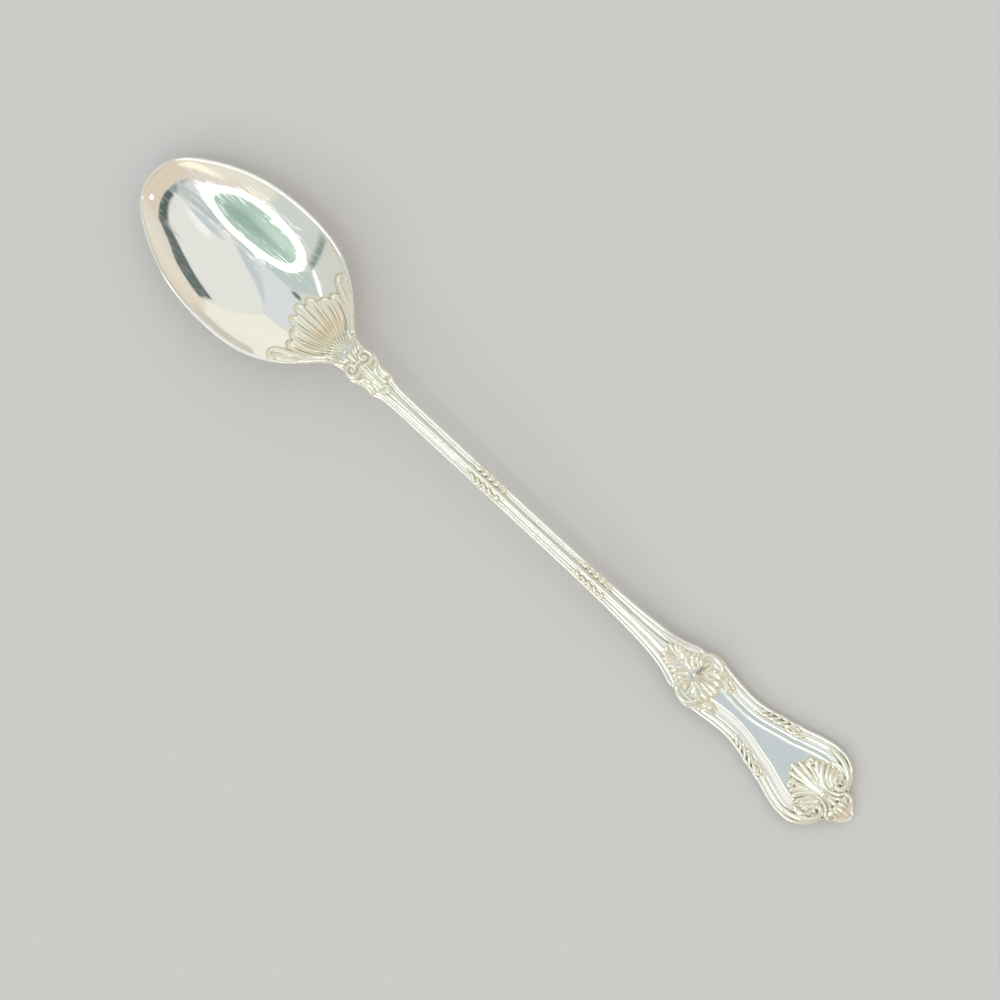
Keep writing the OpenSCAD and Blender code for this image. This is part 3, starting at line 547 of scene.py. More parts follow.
# What each ornament is drawn from: soft mounds, then strokes, then cuts, in a window (first place,
# last place, largest y).
ORNAMENTS = {
    "bowl_shell": dict(window=(38.0, 53.0, 11.7), mounds=(
        *shell_ribs(0.95, 0.16),
        (BAND, 1.1, 0.2, ((50.8, 3.9), (47.6, 6.4), (44.6, 8.7), (42.6, 10.1))),
    ), strokes=(
        *shell_ribs(0.68, 0.5, lobes=True), *sun_rays(),
        (BAND, 0.52, 0.5, (
            (50.6, 3.3), (48.0, 5.6), (45.4, 7.35), (43.3, 8.35), (41.8, 9.3), (41.5, 10.2),
            (42.2, 10.85), (43.0, 10.6))),
        (RIB, 0.5, 0.44, ((52.6, 3.0), (51.0, 3.9), (49.2, 5.7), (46.8, 7.75), (44.6, 9.3), (43.2, 9.95))),
        (RIB, 0.36, 0.36, ((52.9, 3.3), (51.6, 3.95), (50.2, 5.1), (48.2, 7.2), (46.0, 9.1))),
        (RIB, 0.4, 0.36, ((52.9, 2.5), (51.9, 2.7), (50.3, 3.2))),
    ), cuts=(
        *shell_splits(0.15, 0.13),
    )),
    "neck_scrolls": dict(window=(53.7, 59.4, 3.7), strokes=(
        (TAPER, 0.56, 0.54, volute((56.1, 1.85), 1.75, 0.5, -40, 430, 0.85)),
        (BAND, 0.4, 0.5, ((55.95, 1.75), (56.15, 1.9))),
    )),
    "neck_leaves": dict(window=(52.7, 65.2, 3.3), mounds=(
        (BAND, 1.5, 0.16, ((57.4, 0), (62.6, 0))),
        (BAND, 1.0, 0.16, ((59.0, 2.0), (62.2, 2.1))),
    ), strokes=(
        (LEAF, 0.36, 0.34, ((52.9, 2.9), (53.8, 2.6), (54.7, 2.1))),
        (LEAF, 0.34, 0.32, ((53.0, 2.1), (53.8, 1.8), (54.6, 1.3))),
        (LEAF, 0.34, 0.32, ((53.2, 1.3), (53.9, 1.1), (54.7, 0.7))),
        (LEAF, 0.46, 0.38, ((55.6, 0), (54.5, 0), (53.3, 0))),
        (BAND, 0.42, 0.5, ((56.05, 0), (56.05, 0.9))),
        (BAND, 0.42, 0.46, ((56.9, 0), (60.0, 0), (63.0, 0))),
        (BAND, 0.26, 0.34, ((57.4, 0.72), (59.0, 0.66), (60.4, 0.5))),
        (LEAF, 0.55, 0.48, ((58.5, 3.0), (58.9, 2.1), (59.7, 1.3), (61.0, 0.95))),
        (LEAF, 0.56, 0.46, ((59.4, 2.7), (60.7, 2.3), (61.8, 2.45), (62.6, 2.85))),
        (LEAF, 0.42, 0.4, ((60.1, 1.75), (61.3, 1.6), (62.5, 1.95))),
        (LEAF, 0.4, 0.38, ((60.9, 1.0), (62.2, 1.0), (63.3, 1.35))),
        (FINGER, 0.5, 0.48, ((62.9, 0.35), (63.6, 0.65), (64.1, 0.45))),
        (LEAF, 0.45, 0.44, ((63.5, 0), (64.9, 0))),
    )),
    "stem_sprigs": dict(window=(86.0, 125.0, 2.2), strokes=(
        *stem_sprig(87.4, 2.05), *stem_sprig(116.0, 2.12),
    )),
    "knot_shell": dict(window=(139.0, 144.2, 2.7), strokes=(*small_shell(),)),
    "knot_flower": dict(window=(142.4, 154.1, 3.9), mounds=(
        (BAND, 2.6, 0.36, ((145.6, 0), (150.6, 0))),
        (BAND, 1.7, 0.3, ((146.6, 1.2), (145.4, 2.3))),
        (BAND, 1.7, 0.3, ((149.0, 1.2), (151.2, 2.2))),
    ), strokes=(
        (FINGER, 0.66, 0.5, ((147.2, 0.2), (145.6, 0.55), (144.2, 1.2), (143.6, 2.3))),
        (FINGER, 0.55, 0.48, ((147.0, 0.9), (145.7, 1.6), (144.8, 2.4), (144.5, 3.1))),
        (FINGER, 0.5, 0.46, ((147.2, 1.4), (146.3, 2.2), (145.6, 2.9), (145.4, 3.5))),
        (FINGER, 0.66, 0.56, ((148.0, 0.1), (150.2, 0.3), (152.2, 0.5), (153.2, 0.35))),
        (FINGER, 0.6, 0.5, ((148.1, 0.8), (150.0, 1.3), (151.6, 1.75), (152.8, 1.7))),
        (FINGER, 0.52, 0.48, ((148.2, 1.4), (149.7, 2.2), (150.9, 2.75), (152.0, 2.9))),
        (BAND, 0.62, 0.46, ((147.2, 0), (148.2, 0))),
    )),
    "knot_scrolls": dict(window=(145.0, 152.6, 6.0), strokes=(
        (BAND, 0.56, 0.54, (
            (147.8, 3.4), (147.75, 2.85), (147.2, 2.6), (146.6, 2.95), (146.35, 3.75), (146.75, 4.6),
            (147.75, 5.15), (149.0, 5.3), (150.3, 5.0), (151.15, 4.2), (151.15, 3.3), (150.6, 2.8),
            (150.05, 2.95), (149.95, 3.4))),
        (FINGER, 0.46, 0.48, ((148.85, 4.0), (148.85, 3.2), (148.8, 2.3))),
    )),
    "panel_hooks": dict(window=(150.8, 157.0, 5.6), strokes=(
        (FINGER, 0.8, 0.5, ((151.9, 4.7), (152.8, 3.5), (153.9, 2.65), (154.9, 2.4))),
        (LEAF, 0.36, 0.58, ((152.0, 4.4), (152.9, 3.0), (154.0, 2.15), (155.5, 2.05))),
        (LEAF, 0.45, 0.4, ((153.0, 4.5), (154.2, 3.6), (156.0, 3.15))),
    ), cuts=(
        (LEAF, 0.17, 0.3, ((154.5, 2.35), (154.95, 2.85))),
    )),
    "border_sprigs": dict(window=(161.2, 172.6, 7.0), strokes=(
        (LEAF, 0.55, 0.34, ((161.7, 3.2), (162.6, 3.7), (163.2, 4.5))),
        (LEAF, 0.6, 0.38, ((162.7, 3.3), (163.8, 4.1), (164.7, 5.0))),
        (LEAF, 0.66, 0.4, ((164.1, 3.5), (165.4, 4.5), (166.5, 5.6))),
        (LEAF, 0.64, 0.4, ((165.8, 3.8), (167.1, 4.9), (168.2, 5.9))),
        (LEAF, 0.62, 0.38, ((167.4, 4.5), (168.7, 5.5), (170.2, 6.3))),
        (BAND, 0.34, 0.4, ((168.2, 4.5), (169.7, 4.65), (170.7, 5.3), (170.6, 6.0), (169.9, 5.9))),
        (LEAF, 0.32, 0.3, ((170.2, 4.6), (171.2, 5.0), (172.4, 5.9))),
    ), cuts=(
        (LEAF, 0.24, 0.36, ((162.7, 3.6), (163.5, 4.2), (164.0, 5.0))),
        (LEAF, 0.28, 0.42, ((164.0, 3.9), (165.0, 4.8), (165.6, 5.6))),
        (LEAF, 0.28, 0.42, ((165.7, 4.4), (166.8, 5.4), (167.4, 6.2))),
        (LEAF, 0.24, 0.36, ((167.4, 4.9), (168.6, 6.0), (169.3, 6.6))),
    )),
    "terminal_fan": dict(window=(173.0, 184.2, 5.9), mounds=(
        (BAND, 1.7, 0.34, ((176.0, 0), (182.6, 0))),
        (BAND, 1.8, 0.32, ((182.0, 1.0), (178.4, 2.8))),
        (BAND, 1.7, 0.28, ((182.6, 2.4), (181.0, 4.0))),
    ), strokes=(
        (FINGER, 0.66, 0.54, ((183.2, 0), (178.4, 0), (174.2, 0))),
        (FINGER, 0.5, 0.48, ((182.4, 0.3), (178.8, 0.85), (176.4, 1.2), (174.9, 1.35))),
        (RIB, 0.6, 0.5, ((182.3, 0.5), (179.6, 1.45), (177.6, 2.1), (176.3, 2.3))),
        (BAND, 0.42, 0.58, volute((176.5, 2.95), 0.68, 0.3, 200, -420)),
        (RIB, 0.56, 0.5, ((182.2, 0.8), (179.9, 2.0), (178.4, 3.0), (177.5, 3.65))),
        (FINGER, 0.6, 0.56, (
            (184.0, 1.3), (182.6, 1.15), (181.2, 1.6), (179.9, 2.6), (178.9, 3.8), (178.4, 4.5))),
        (FINGER, 0.52, 0.52, ((183.0, 1.9), (181.7, 2.35), (180.7, 3.25), (179.9, 4.4), (179.8, 4.9))),
        (FINGER, 0.5, 0.5, ((183.2, 2.3), (182.1, 3.0), (181.3, 3.9), (181.1, 4.9))),
        (FINGER, 0.44, 0.46, ((183.3, 2.9), (182.6, 3.7), (182.2, 4.8))),
    )),
    "terminal_scrolls": dict(window=(176.8, 186.0, 8.2), strokes=(
        (SWEEP, 0.58, 0.5, (
            (177.4, 7.35), (179.2, 7.6), (181.2, 7.35), (183.0, 6.65), (184.5, 5.45), (185.1, 4.1),
            (184.8, 3.0), (184.0, 2.6), (183.4, 3.0), (183.4, 3.6), (183.9, 3.9))),
        (LEAF, 0.42, 0.38, ((183.6, 4.9), (182.6, 5.6), (181.3, 5.9), (180.1, 5.8), (179.5, 5.2))),
        (LEAF, 0.4, 0.34, ((183.3, 5.7), (182.0, 6.3), (180.4, 6.4))),
        (BAND, 0.42, 0.48, ((183.7, 1.3), (184.7, 1.65), (185.5, 2.3), (185.9, 3.1))),
    )),
    "finial_leaves": dict(window=(183.7, 190.2, 3.8), mounds=(
        (BAND, 1.3, 0.16, ((184.4, 0), (188.4, 0))),
    ), strokes=(
        (TAPER, 0.5, 0.5, (
            (186.2, 3.0), (187.1, 3.05), (187.85, 2.7), (188.0, 2.1), (187.5, 1.75), (187.0, 2.05))),
        (FINGER, 0.5, 0.48, ((183.9, 0), (186.4, 0))),
        (FINGER, 0.44, 0.46, ((184.1, 0.45), (185.2, 0.9), (186.1, 1.5))),
        (LEAF, 0.42, 0.42, ((186.2, 0.75), (187.2, 1.0), (188.5, 0.85))),
        (LEAF, 0.56, 0.48, ((186.7, 0), (188.2, 0), (189.7, 0))),
    )),
}


def ornament_height(spec, s, y):
    """Height of one ornament over its carrier on the grid s by y, given for y from zero up."""
    field = np.full((len(s), len(y)), -STEEP * SKIRT)
    for mound in spec.get("mounds", ()):
        lay(field, s, y, *mound, soft=True)
    for stroke in spec["strokes"]:
        lay(field, s, y, *stroke)
    for cut in spec.get("cuts", ()):
        lay(field, s, y, *cut, cut=True)
    return field


# Map of where tarnish stays, and of the shade painted into the hollows with it: how far each point
# lies below the mean height round it. Less stays on the stem, which is held and rubbed.
WORN_AND_SHADED = (
    (36.0, 0.85), (48.0, 0.85), (50.0, 1.2), (53.0, 1.2), (55.0, 0.85), (62.0, 0.85), (68.0, 0.15),
    (84.0, 0.15), (86.5, 0.65), (95.0, 0.65), (97.0, 0.15), (113.0, 0.15), (115.0, 0.65),
    (123.5, 0.65), (126.0, 0.35), (138.0, 0.6), (142.0, 0.45), (153.0, 0.5), (158.0, 0.9),
    (186.0, 1.0), (190.4, 0.9),
)
# Fine and wide hollows: (reach of the mean in cells, depth that fills it, its share of the tarnish and
# painted shade)
FINE_HOLLOWS = (2, 0.13, 0.65)
WIDE_HOLLOWS = (7, 0.4, 0.4)
TARNISH_AND_SHADE_GAIN = 1.12
TARNISH_AND_SHADE_START = 0.12
TARNISH_AND_SHADE_POWER = 1.3
MAP_STEP = 0.1
MAP_S = np.arange(36.0, OVERALL_L + MAP_STEP, MAP_STEP)
MAP_Y = np.arange(0.0, 12.0, MAP_STEP)


def running_mean(rows, cells):
    """Mean over a window along each row that reaches so many cells either way."""
    total = np.cumsum(np.pad(rows, ((0, 0), (1, 0))), 1)
    return (total[:, 2 * cells + 1:] - total[:, :-2 * cells - 1]) / (2 * cells + 1)


def blur(field, cells):
    """Mean over a square window, mirrored at the centre line, done twice for a soft falloff."""
    for _ in range(2):
        both = np.concatenate([field[:, cells:0:-1], field, np.repeat(field[:, -1:], cells, 1)], 1)
        field = running_mean(both, cells)
        field = running_mean(np.pad(field, ((cells, cells), (0, 0)), mode="edge").T, cells).T
    return field


def tarnish_and_shade_map():
    """clamp(gain * (share * fine + share * wide) - start) ^ power, times how much stays at the place."""
    s, y = MAP_S[:, None], MAP_Y[None, :]
    on_plate = (s >= BOWL_END) & (s < PANEL_END)
    top = np.where(on_plate, reeded(s, y), 0.0)
    plain = np.where(on_plate, reeded(s, y, 0.0), 0.0)
    for spec in ORNAMENTS.values():
        s0, s1, y1 = spec["window"]
        rows = slice(*np.searchsorted(MAP_S, (s0, s1)))
        cols = slice(0, np.searchsorted(MAP_Y, y1))
        high = ornament_height(spec, MAP_S[rows], MAP_Y[cols])
        raised = np.maximum(top[rows, cols], plain[rows, cols] + high)
        top[rows, cols] = np.where(high > 0.02, raised, top[rows, cols])
    fine, wide = (
        share * clamp01((blur(top, cells) - top) / depth)
        for cells, depth, share in (FINE_HOLLOWS, WIDE_HOLLOWS))
    # The darkness of the hollows is tarnish and painted shade in one
    return clamp01(TARNISH_AND_SHADE_GAIN * (fine + wide) - TARNISH_AND_SHADE_START) ** TARNISH_AND_SHADE_POWER * curve(WORN_AND_SHADED, s)


TARNISH_AND_SHADE = tarnish_and_shade_map()


def tarnish(s, y):
    """The map read at any points, between its cells."""
    i = np.clip((s - MAP_S[0]) / MAP_STEP, 0, len(MAP_S) - 1.001)
    j = np.clip(np.abs(y) / MAP_STEP, 0, len(MAP_Y) - 1.001)
    i0, j0 = i.astype(int), j.astype(int)
    u, v = i - i0, j - j0
    near = mix(TARNISH_AND_SHADE[i0, j0], TARNISH_AND_SHADE[i0, j0 + 1], v)
    far = mix(TARNISH_AND_SHADE[i0 + 1, j0], TARNISH_AND_SHADE[i0 + 1, j0 + 1], v)
    return mix(near, far, u) * (s > MAP_S[0])


# Materials. Their patterns lie in object space, in metres: scales are per metre. The clouds in the
# tarnish come out 4 mm across, and the hairlines 8 mm long and 0.15 mm wide.
CLOUDS = 260.0
HAIRLINES = (130, 3600, 60)
HAIRLINE_TURNS = (0.35, 1.2, 2.0, 2.75)
TARNISHED_ROUGHNESS = 0.42


def srgb(code):
    """Linear colour from an sRGB hex value such as "F4F1EA"."""
    c = np.array([int(code[i:i + 2], 16) for i in (0, 2, 4)]) / 255
    return (*np.where(c <= 0.04045, c / 12.92, ((c + 0.055) / 1.055) ** 2.4), 1.0)


def add(tree, kind, **given):
    """Adds one shader node. A name in small letters is a setting of the node. Any other is a socket, by
    its name or as _ and its number, and gets a value or a link from (node, output)."""
    node = tree.nodes.new("ShaderNode" + kind)
    for key, value in given.items():
        if key[0].islower():
            setattr(node, key, value)
            continue
        socket = node.inputs[int(key[1:]) if key[1:].isdigit() else key.replace("_", " ")]
        if isinstance(value, tuple) and len(value) == 2 and hasattr(value[0], "outputs"):
            tree.links.new(value[0].outputs[value[1]], socket)
        else:
            socket.default_value = value
    return node


def ramp(tree, fac, stops):
    """Colour ramp through (place, colour code)."""
    node = add(tree, "ValToRGB", Fac=fac)
    elements = node.color_ramp.elements
    while len(elements) < len(stops):
        elements.new(0.5)
    for element, (at, code) in zip(elements, stops):
        element.position = at
        element.color = srgb(code)
    return node


def silver(name, bright, film, deep, roughness, hairline):
    """Sterling silver, struck and polished. bright is the polished colour, film the thin tarnish in
    shallow hollows and deep the grey-brown of the tightest ones; both also paint the shade that falls
    in the hollows. hairline is the depth in millimetres of the fine scratches that use leaves. They
    are drawn wider than real ones, so that they show at all, and only on level surfaces, as their
    pattern runs straight down."""
    material = bpy.data.materials.new(name)
    material.use_nodes = True
    tree = material.node_tree
    tree.nodes.clear()
    where = add(tree, "TexCoord")
    held = add(tree, "Attribute", attribute_name="tarnish")
    # Tarnish and painted shade from the map, broken by clouds, with a little haze on the polish
    cloud = add(tree, "TexNoise", Vector=(where, "Object"), Scale=CLOUDS, Detail=4.0, Roughness=0.6)
    patchy = add(tree, "MapRange", Value=(cloud, 0), To_Min=0.75, To_Max=1.25)
    amount = add(tree, "Math", operation="MULTIPLY", use_clamp=True, _0=(held, "Fac"), _1=(patchy, 0))
    # The film and deep colours paint the shade in the hollows along with the tarnish
    colour = ramp(tree, (amount, 0), ((0.0, bright), (0.42, film), (1.0, deep)))
    rough = add(tree, "MapRange", Value=(amount, 0), To_Min=roughness, To_Max=TARNISHED_ROUGHNESS)
    haze = add(
        tree, "MapRange", Value=(cloud, 0), From_Min=0.35, From_Max=0.75, To_Min=-0.015, To_Max=0.03)
    rough = add(tree, "Math", operation="ADD", _0=(rough, 0), _1=(haze, 0))
    # Hairlines: crests of a noise drawn out into lines, in four directions
    lines = None
    for turn in HAIRLINE_TURNS:
        turned = add(tree, "Mapping", Vector=(where, "Object"), Rotation=(0, 0, turn), Scale=HAIRLINES)
        grain = add(tree, "TexNoise", Vector=(turned, 0), Scale=1.0, Detail=1.0, Distortion=0.9)
        line = add(tree, "MapRange", Value=(grain, 0), From_Min=0.68, From_Max=0.76)
        if lines is not None:
            line = add(tree, "Math", operation="MAXIMUM", _0=(lines, 0), _1=(line, 0))
        lines = line
    shape = add(tree, "NewGeometry")
    upward = add(tree, "SeparateXYZ", Vector=(shape, "Normal"))
    upward = add(tree, "Math", operation="ABSOLUTE", _0=(upward, "Z"))
    level = add(tree, "MapRange", Value=(upward, 0), From_Min=0.5, From_Max=0.9)
    bump = add(
        tree, "Bump", invert=True, Height=(lines, 0), Strength=(level, 0), Distance=hairline * MM)
    surface = add(
        tree, "BsdfPrincipled",
        Base_Color=(colour, 0), Roughness=(rough, 0), Normal=(bump, 0), Metallic=1.0)
    add(tree, "OutputMaterial", Surface=(surface, 0))
    return material


# Mirror polish: the bowl gives the room back sharply, a little broken by hairlines
POLISHED = silver("mirror_polished_silver", "FAF8F4", "EAE6D6", "A29C85", 0.04, 0.0034)
# Struck and buffed: bright on the beads, duller and warmer down in the grooves, which also hold painted
# shade
STRUCK = silver("struck_silver", "FAF8F2", "EAE6D4", "686450", 0.085, 0.0012)
# Relief: only its high points are reached by the polishing cloth; its hollows also hold painted shade
CARVED = silver("relief_silver", "FAF7EC", "EAE5CF", "6F6B55", 0.14, 0.0008)
FINISH = {"polished_silver": POLISHED, "struck_silver": STRUCK, "relief_silver": CARVED}


def put(name, data):
    """Puts an object into the scene."""
    thing = bpy.data.objects.new(name, data)
    bpy.context.scene.collection.objects.link(thing)
    return thing


def make_piece(name, slot, points, quads, caps=()):
    """Makes one piece from points [s, y, z] in millimetres, an array of four-sided faces and closing
    faces, smooth but for the closing faces' edges, with the tarnish and painted shade as an attribute."""
    mesh = bpy.data.meshes.new(name)
    corners = np.concatenate([quads.ravel(), *caps]).astype(np.int32)
    sizes = np.concatenate([np.full(len(quads), 4), [len(c) for c in caps]]).astype(np.int32)
    mesh.vertices.add(len(points))
    mesh.vertices.foreach_set("co", ((points - [OVERALL_L / 2, 0, 0]) * MM).astype(np.float32).ravel())
    mesh.loops.add(len(corners))
    mesh.loops.foreach_set("vertex_index", corners)
    mesh.polygons.add(len(sizes))
    mesh.polygons.foreach_set("loop_start", (np.cumsum(sizes) - sizes).astype(np.int32))
    mesh.update(calc_edges=True)
    mesh.validate()
    mesh.polygons.foreach_set("use_smooth", np.ones(len(mesh.polygons), bool))
    held = mesh.attributes.new("tarnish", "FLOAT", "POINT")
    s, y, z = points.T
    under = np.where(s < BOWL_END, outer_z(np.minimum(s, BOWL_END), y), back_z(s))
    upper = z > mix(under, ground(s, y), 0.5)
    # Tarnish and painted shade of the hollows, on the top only
    held.data.foreach_set("value", (tarnish(s, y) * upper).astype(np.float32))
    if len(caps):
        rim = np.zeros(len(points), bool)
        rim[np.concatenate(caps)] = True
        ends = np.empty(2 * len(mesh.edges), np.int32)
        mesh.edges.foreach_get("vertices", ends)
        sharp = mesh.attributes.new("sharp_edge", "BOOLEAN", "EDGE")
        sharp.data.foreach_set("value", rim[ends.reshape(-1, 2)].all(1))
    mesh.materials.append(FINISH[slot])
    piece = put(name, mesh)
    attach(piece, "root")
    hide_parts(name.removeprefix("silver_"))


def loft(name, slot, s, rings):
    """Closed body through rings of [y, z] at the places s, each over the top and back underneath."""
    rows, n = rings.shape[:2]
    points = np.concatenate([np.broadcast_to(s[:, None, None], (rows, n, 1)), rings], 2).reshape(-1, 3)
    i = np.arange(n)
    a = (np.arange(rows - 1) * n)[:, None] + i
    b = (np.arange(rows - 1) * n)[:, None] + (i + 1) % n
    quads = np.stack([a, a + n, b + n, b], -1).reshape(-1, 4)
    make_piece(name, slot, points, quads, caps=(i, (rows - 1) * n + i[::-1]))


def tip_gap(s, y):
    """Distance of each point from the outline round the bowl's tip."""
    along = TIP_RUN * np.linspace(0, 1, 80) ** 2
    side = half_width(along)
    side[0] = 0
    return path_gap(s, y, along, side)


def bowl_rings(s):
    """Over the top: rim, hollow in a parabola, rim. Underneath: the same bowl a wall lower. The rim is
    crowned, and rolls over to its outer edge."""
    w = half_width(s)[:, None]
    lip = np.minimum(land(s)[:, None], LAND_MOST * w)
    inside = np.sin(np.linspace(-90, 90, 181) * math.pi / 180)[None, :] * (w - lip)
    over = np.linspace(0, 1, 14)[None, 1:]
    rim = w - lip + lip * over
    y = np.concatenate([-rim[:, ::-1], inside, rim], 1)
    # How far out on the rim each point lies, from 0 inside of it to 1 on the outline
    out = np.concatenate([over[:, ::-1], np.zeros((1, inside.shape[1])), over], 1) + np.zeros_like(y)
    tip = s < sum(TIP_FADE)
    round_tip = clamp01(1 - tip_gap(s[tip, None], np.abs(y[tip])) / RIM_W)
    out[tip] = mix(round_tip, out[tip], ease((s[tip, None] - TIP_FADE[0]) / TIP_FADE[1]))
    out[0] = 1
    heeled = heel(s)[:, None]
    z = inner_z(s[:, None], y) + RIM_CROWN * (1 - heeled) * np.sin(math.pi * out)
    z = z - mix(RIM_ROLL, EDGE_ROUND, heeled) * round_over((out - ROLL_START) / (1 - ROLL_START))
    under = -np.cos(np.linspace(0, 180, 101) * math.pi / 180)[None, :] * w
    under_z = outer_z(s[:, None], under)
    return np.stack([np.concatenate([y, under[:, ::-1]], 1), np.concatenate([z, under_z[:, ::-1]], 1)], -1)


def plate_rings(s, columns, top):
    """Over the top: the given surface. Underneath: a plain back, flat in the middle and rounded up
    to its edges."""
    w = half_width(s)[:, None]
    across = np.linspace(-1, 1, columns)[None, :]
    y = np.sign(across) * (1 - (1 - np.abs(across)) ** 1.12) * w
    z = top(s[:, None], y)
    v = np.linspace(1, -1, 41)[None, :]
    flat = mix(*BACK_FLAT, ease((s - STEM_END) / (KNOT_MID - STEM_END)))[:, None]
    bowl_like = (NECK_T - RIM_EDGE_T) * np.abs(v) ** BACK_POWER
    rounded = (np.clip(np.abs(v) - flat, 0, None) / (1 - flat)) ** 2
    plate_like = BACK_ROUND * curve(THICKNESS, s)[:, None] * rounded
    past_neck = ease((s - BOWL_END) / (NECK_END - BOWL_END))[:, None]
    under = back_z(s)[:, None] + mix(bowl_like, plate_like, past_neck)
    return np.stack([np.concatenate([y, v * w], 1), np.concatenate([z, under], 1)], -1)


def body(name, start, end, step, columns, top=plate_z):
    """One region of the stem or the handle, with rings about a step apart."""
    s = np.linspace(start, end, int((end - start) / step) + 2)
    loft("silver_" + name, "struck_silver", s, plate_rings(s, columns, top))


# Distance between the points of an ornament's grid
STEP = 0.07


def corners(grid):
    """The four corners of each cell of a grid, in their order round it."""
    return grid[:-1, :-1], grid[1:, :-1], grid[1:, 1:], grid[:-1, 1:]


def ornament(name):
    """Closed solid of one ornament. Its top is the carrier with its grooves filled plus the relief, its
    foot lies inside the carrier, and walls close it round the edge of the relief."""
    spec = ORNAMENTS[name]
    s0, s1, y1 = spec["window"]
    s = np.arange(s0, s1, STEP)
    half = np.arange(0, y1, STEP)
    high = ornament_height(spec, s, half)
    high = np.concatenate([high[:, :0:-1], high], 1)
    s, y = np.meshgrid(s, np.concatenate([-half[:0:-1], half]), indexing="ij")
    gap = edge_gap(s, y)
    high = np.where(high > 0, high * ease((gap - EDGE_CLEAR) / EDGE_RISE), high)
    high = high - EDGE_DROP * (1 - clamp01(gap / EDGE_DROP_W))
    base = ground(s, y, 0.0)
    points = np.concatenate([
        np.stack([s, y, z], -1).reshape(-1, 3) for z in (base + high - LET_IN, base - FOOT)])
    n = s.size
    a, b, c, d = corners(np.arange(n).reshape(s.shape))
    kept = np.any(corners(high > 0.01 - STEEP * SKIRT), 0) & np.all(corners(gap > 0), 0)
    around = np.pad(kept, 1)
    faces = [np.stack([a, b, c, d], -1)[kept], np.stack([d, c, b, a], -1)[kept] + n]
    for p, q, beyond in (
        (a, b, around[1:-1, :-2]), (b, c, around[2:, 1:-1]),
        (c, d, around[1:-1, 2:]), (d, a, around[:-2, 1:-1]),
    ):
        edge = kept & ~beyond
        faces.append(np.stack([q[edge], p[edge], p[edge] + n, q[edge] + n], -1))
    used, faces = np.unique(np.concatenate(faces), return_inverse=True)
    make_piece("silver_" + name, "relief_silver", points[used], faces.reshape(-1, 4))


# The pieces. The bowl's rings stand closest at its tip.
_rings = BOWL_START + (BOWL_END - BOWL_START) * (1 - np.cos(np.linspace(0, math.pi / 2, 260)))
loft("silver_bowl", "polished_silver", _rings, bowl_rings(_rings))
body("neck", BOWL_END, NECK_END, 0.12, 81)
body("stem", NECK_END, STEM_END, 0.35, 91)
body("shoulder_flare", STEM_END, FLARE_END, 0.15, 121)
body("knot", FLARE_END, KNOT_END, 0.1, 151)
body("handle_panel", KNOT_END, PANEL_END, 0.11, 201)
body("finial", PANEL_END, OVERALL_L, 0.07, 81, finial_z)
for _name in ORNAMENTS:
    ornament(_name)


# Floor, light and camera, in metres
TABLE_HALF = 3.0
TABLE_Z = -0.00003
CAMERA_TURN = 42.8
CAMERA_TILT = -1.0
CAMERA_FAR = 0.784
CAMERA_AIM = (0.0, -0.0008, 0.004)
FOCAL = 3.93


def floor():
    """Pale matt table top, which the spoon lies on."""
    mesh = bpy.data.meshes.new("table")
    corners = ((-1, -1), (1, -1), (1, 1), (-1, 1))
    mesh.from_pydata([(x * TABLE_HALF, y * TABLE_HALF, TABLE_Z) for x, y in corners], [], [(0, 1, 2, 3)])
    material = bpy.data.materials.new("pale_table")
    material.use_nodes = True
    tree = material.node_tree
    surface = tree.nodes["Principled BSDF"]
    surface.inputs["Base Color"].default_value = srgb("E1DFE2")
    surface.inputs["Roughness"].default_value = 0.8
    mesh.materials.append(material)
    put("table", mesh)


def direction(polar, azimuth):
    """Unit vector that stands polar degrees off the vertical towards azimuth."""
    p, q = math.radians(polar), math.radians(azimuth)
    return np.array((math.sin(p) * math.cos(q), math.sin(p) * math.sin(q), math.cos(p)))


def toward(tree, way, axis):
    """How far the direction that is looked in goes along an axis."""
    return add(
        tree, "VectorMath", operation="DOT_PRODUCT", _0=(way, "Generated"), _1=axis.tolist()), "Value"


def lay_over(tree, under, value, edge, colour, strength):
    """Shows a colour over what is under it, past a soft edge (value at 0, value at 1)."""
    there = add(
        tree, "MapRange", interpolation_type="SMOOTHSTEP", Value=value, From_Min=edge[0], From_Max=edge[1])
    lit = [strength * v for v in srgb(colour)[:3]] + [1.0]
    under = under, COLOUR_OUT[under.bl_idname]
    return add(tree, "Mix", data_type="RGBA", _0=(there, 0), _6=under, _7=lit)


def pane(tree, way, under, colour, soft, corners):
    """Flat panel hung in the room, with straight sides between its corners (polar, azimuth). Each side
    is a plane through the spoon, and the panel is where the direction lies inside of all of them."""
    at = [direction(*corner) for corner in corners]
    inside = None
    for a, b in zip(at, at[1:] + at[:1]):
        square = np.cross(a, b)
        square *= math.copysign(1, square @ sum(at)) / np.linalg.norm(square)
        side = toward(tree, way, square)
        if inside:
            side = add(tree, "Math", operation="MINIMUM", _0=inside, _1=side), 0
        inside = side
    return lay_over(tree, under, inside, (-soft, soft), colour, 1.0)


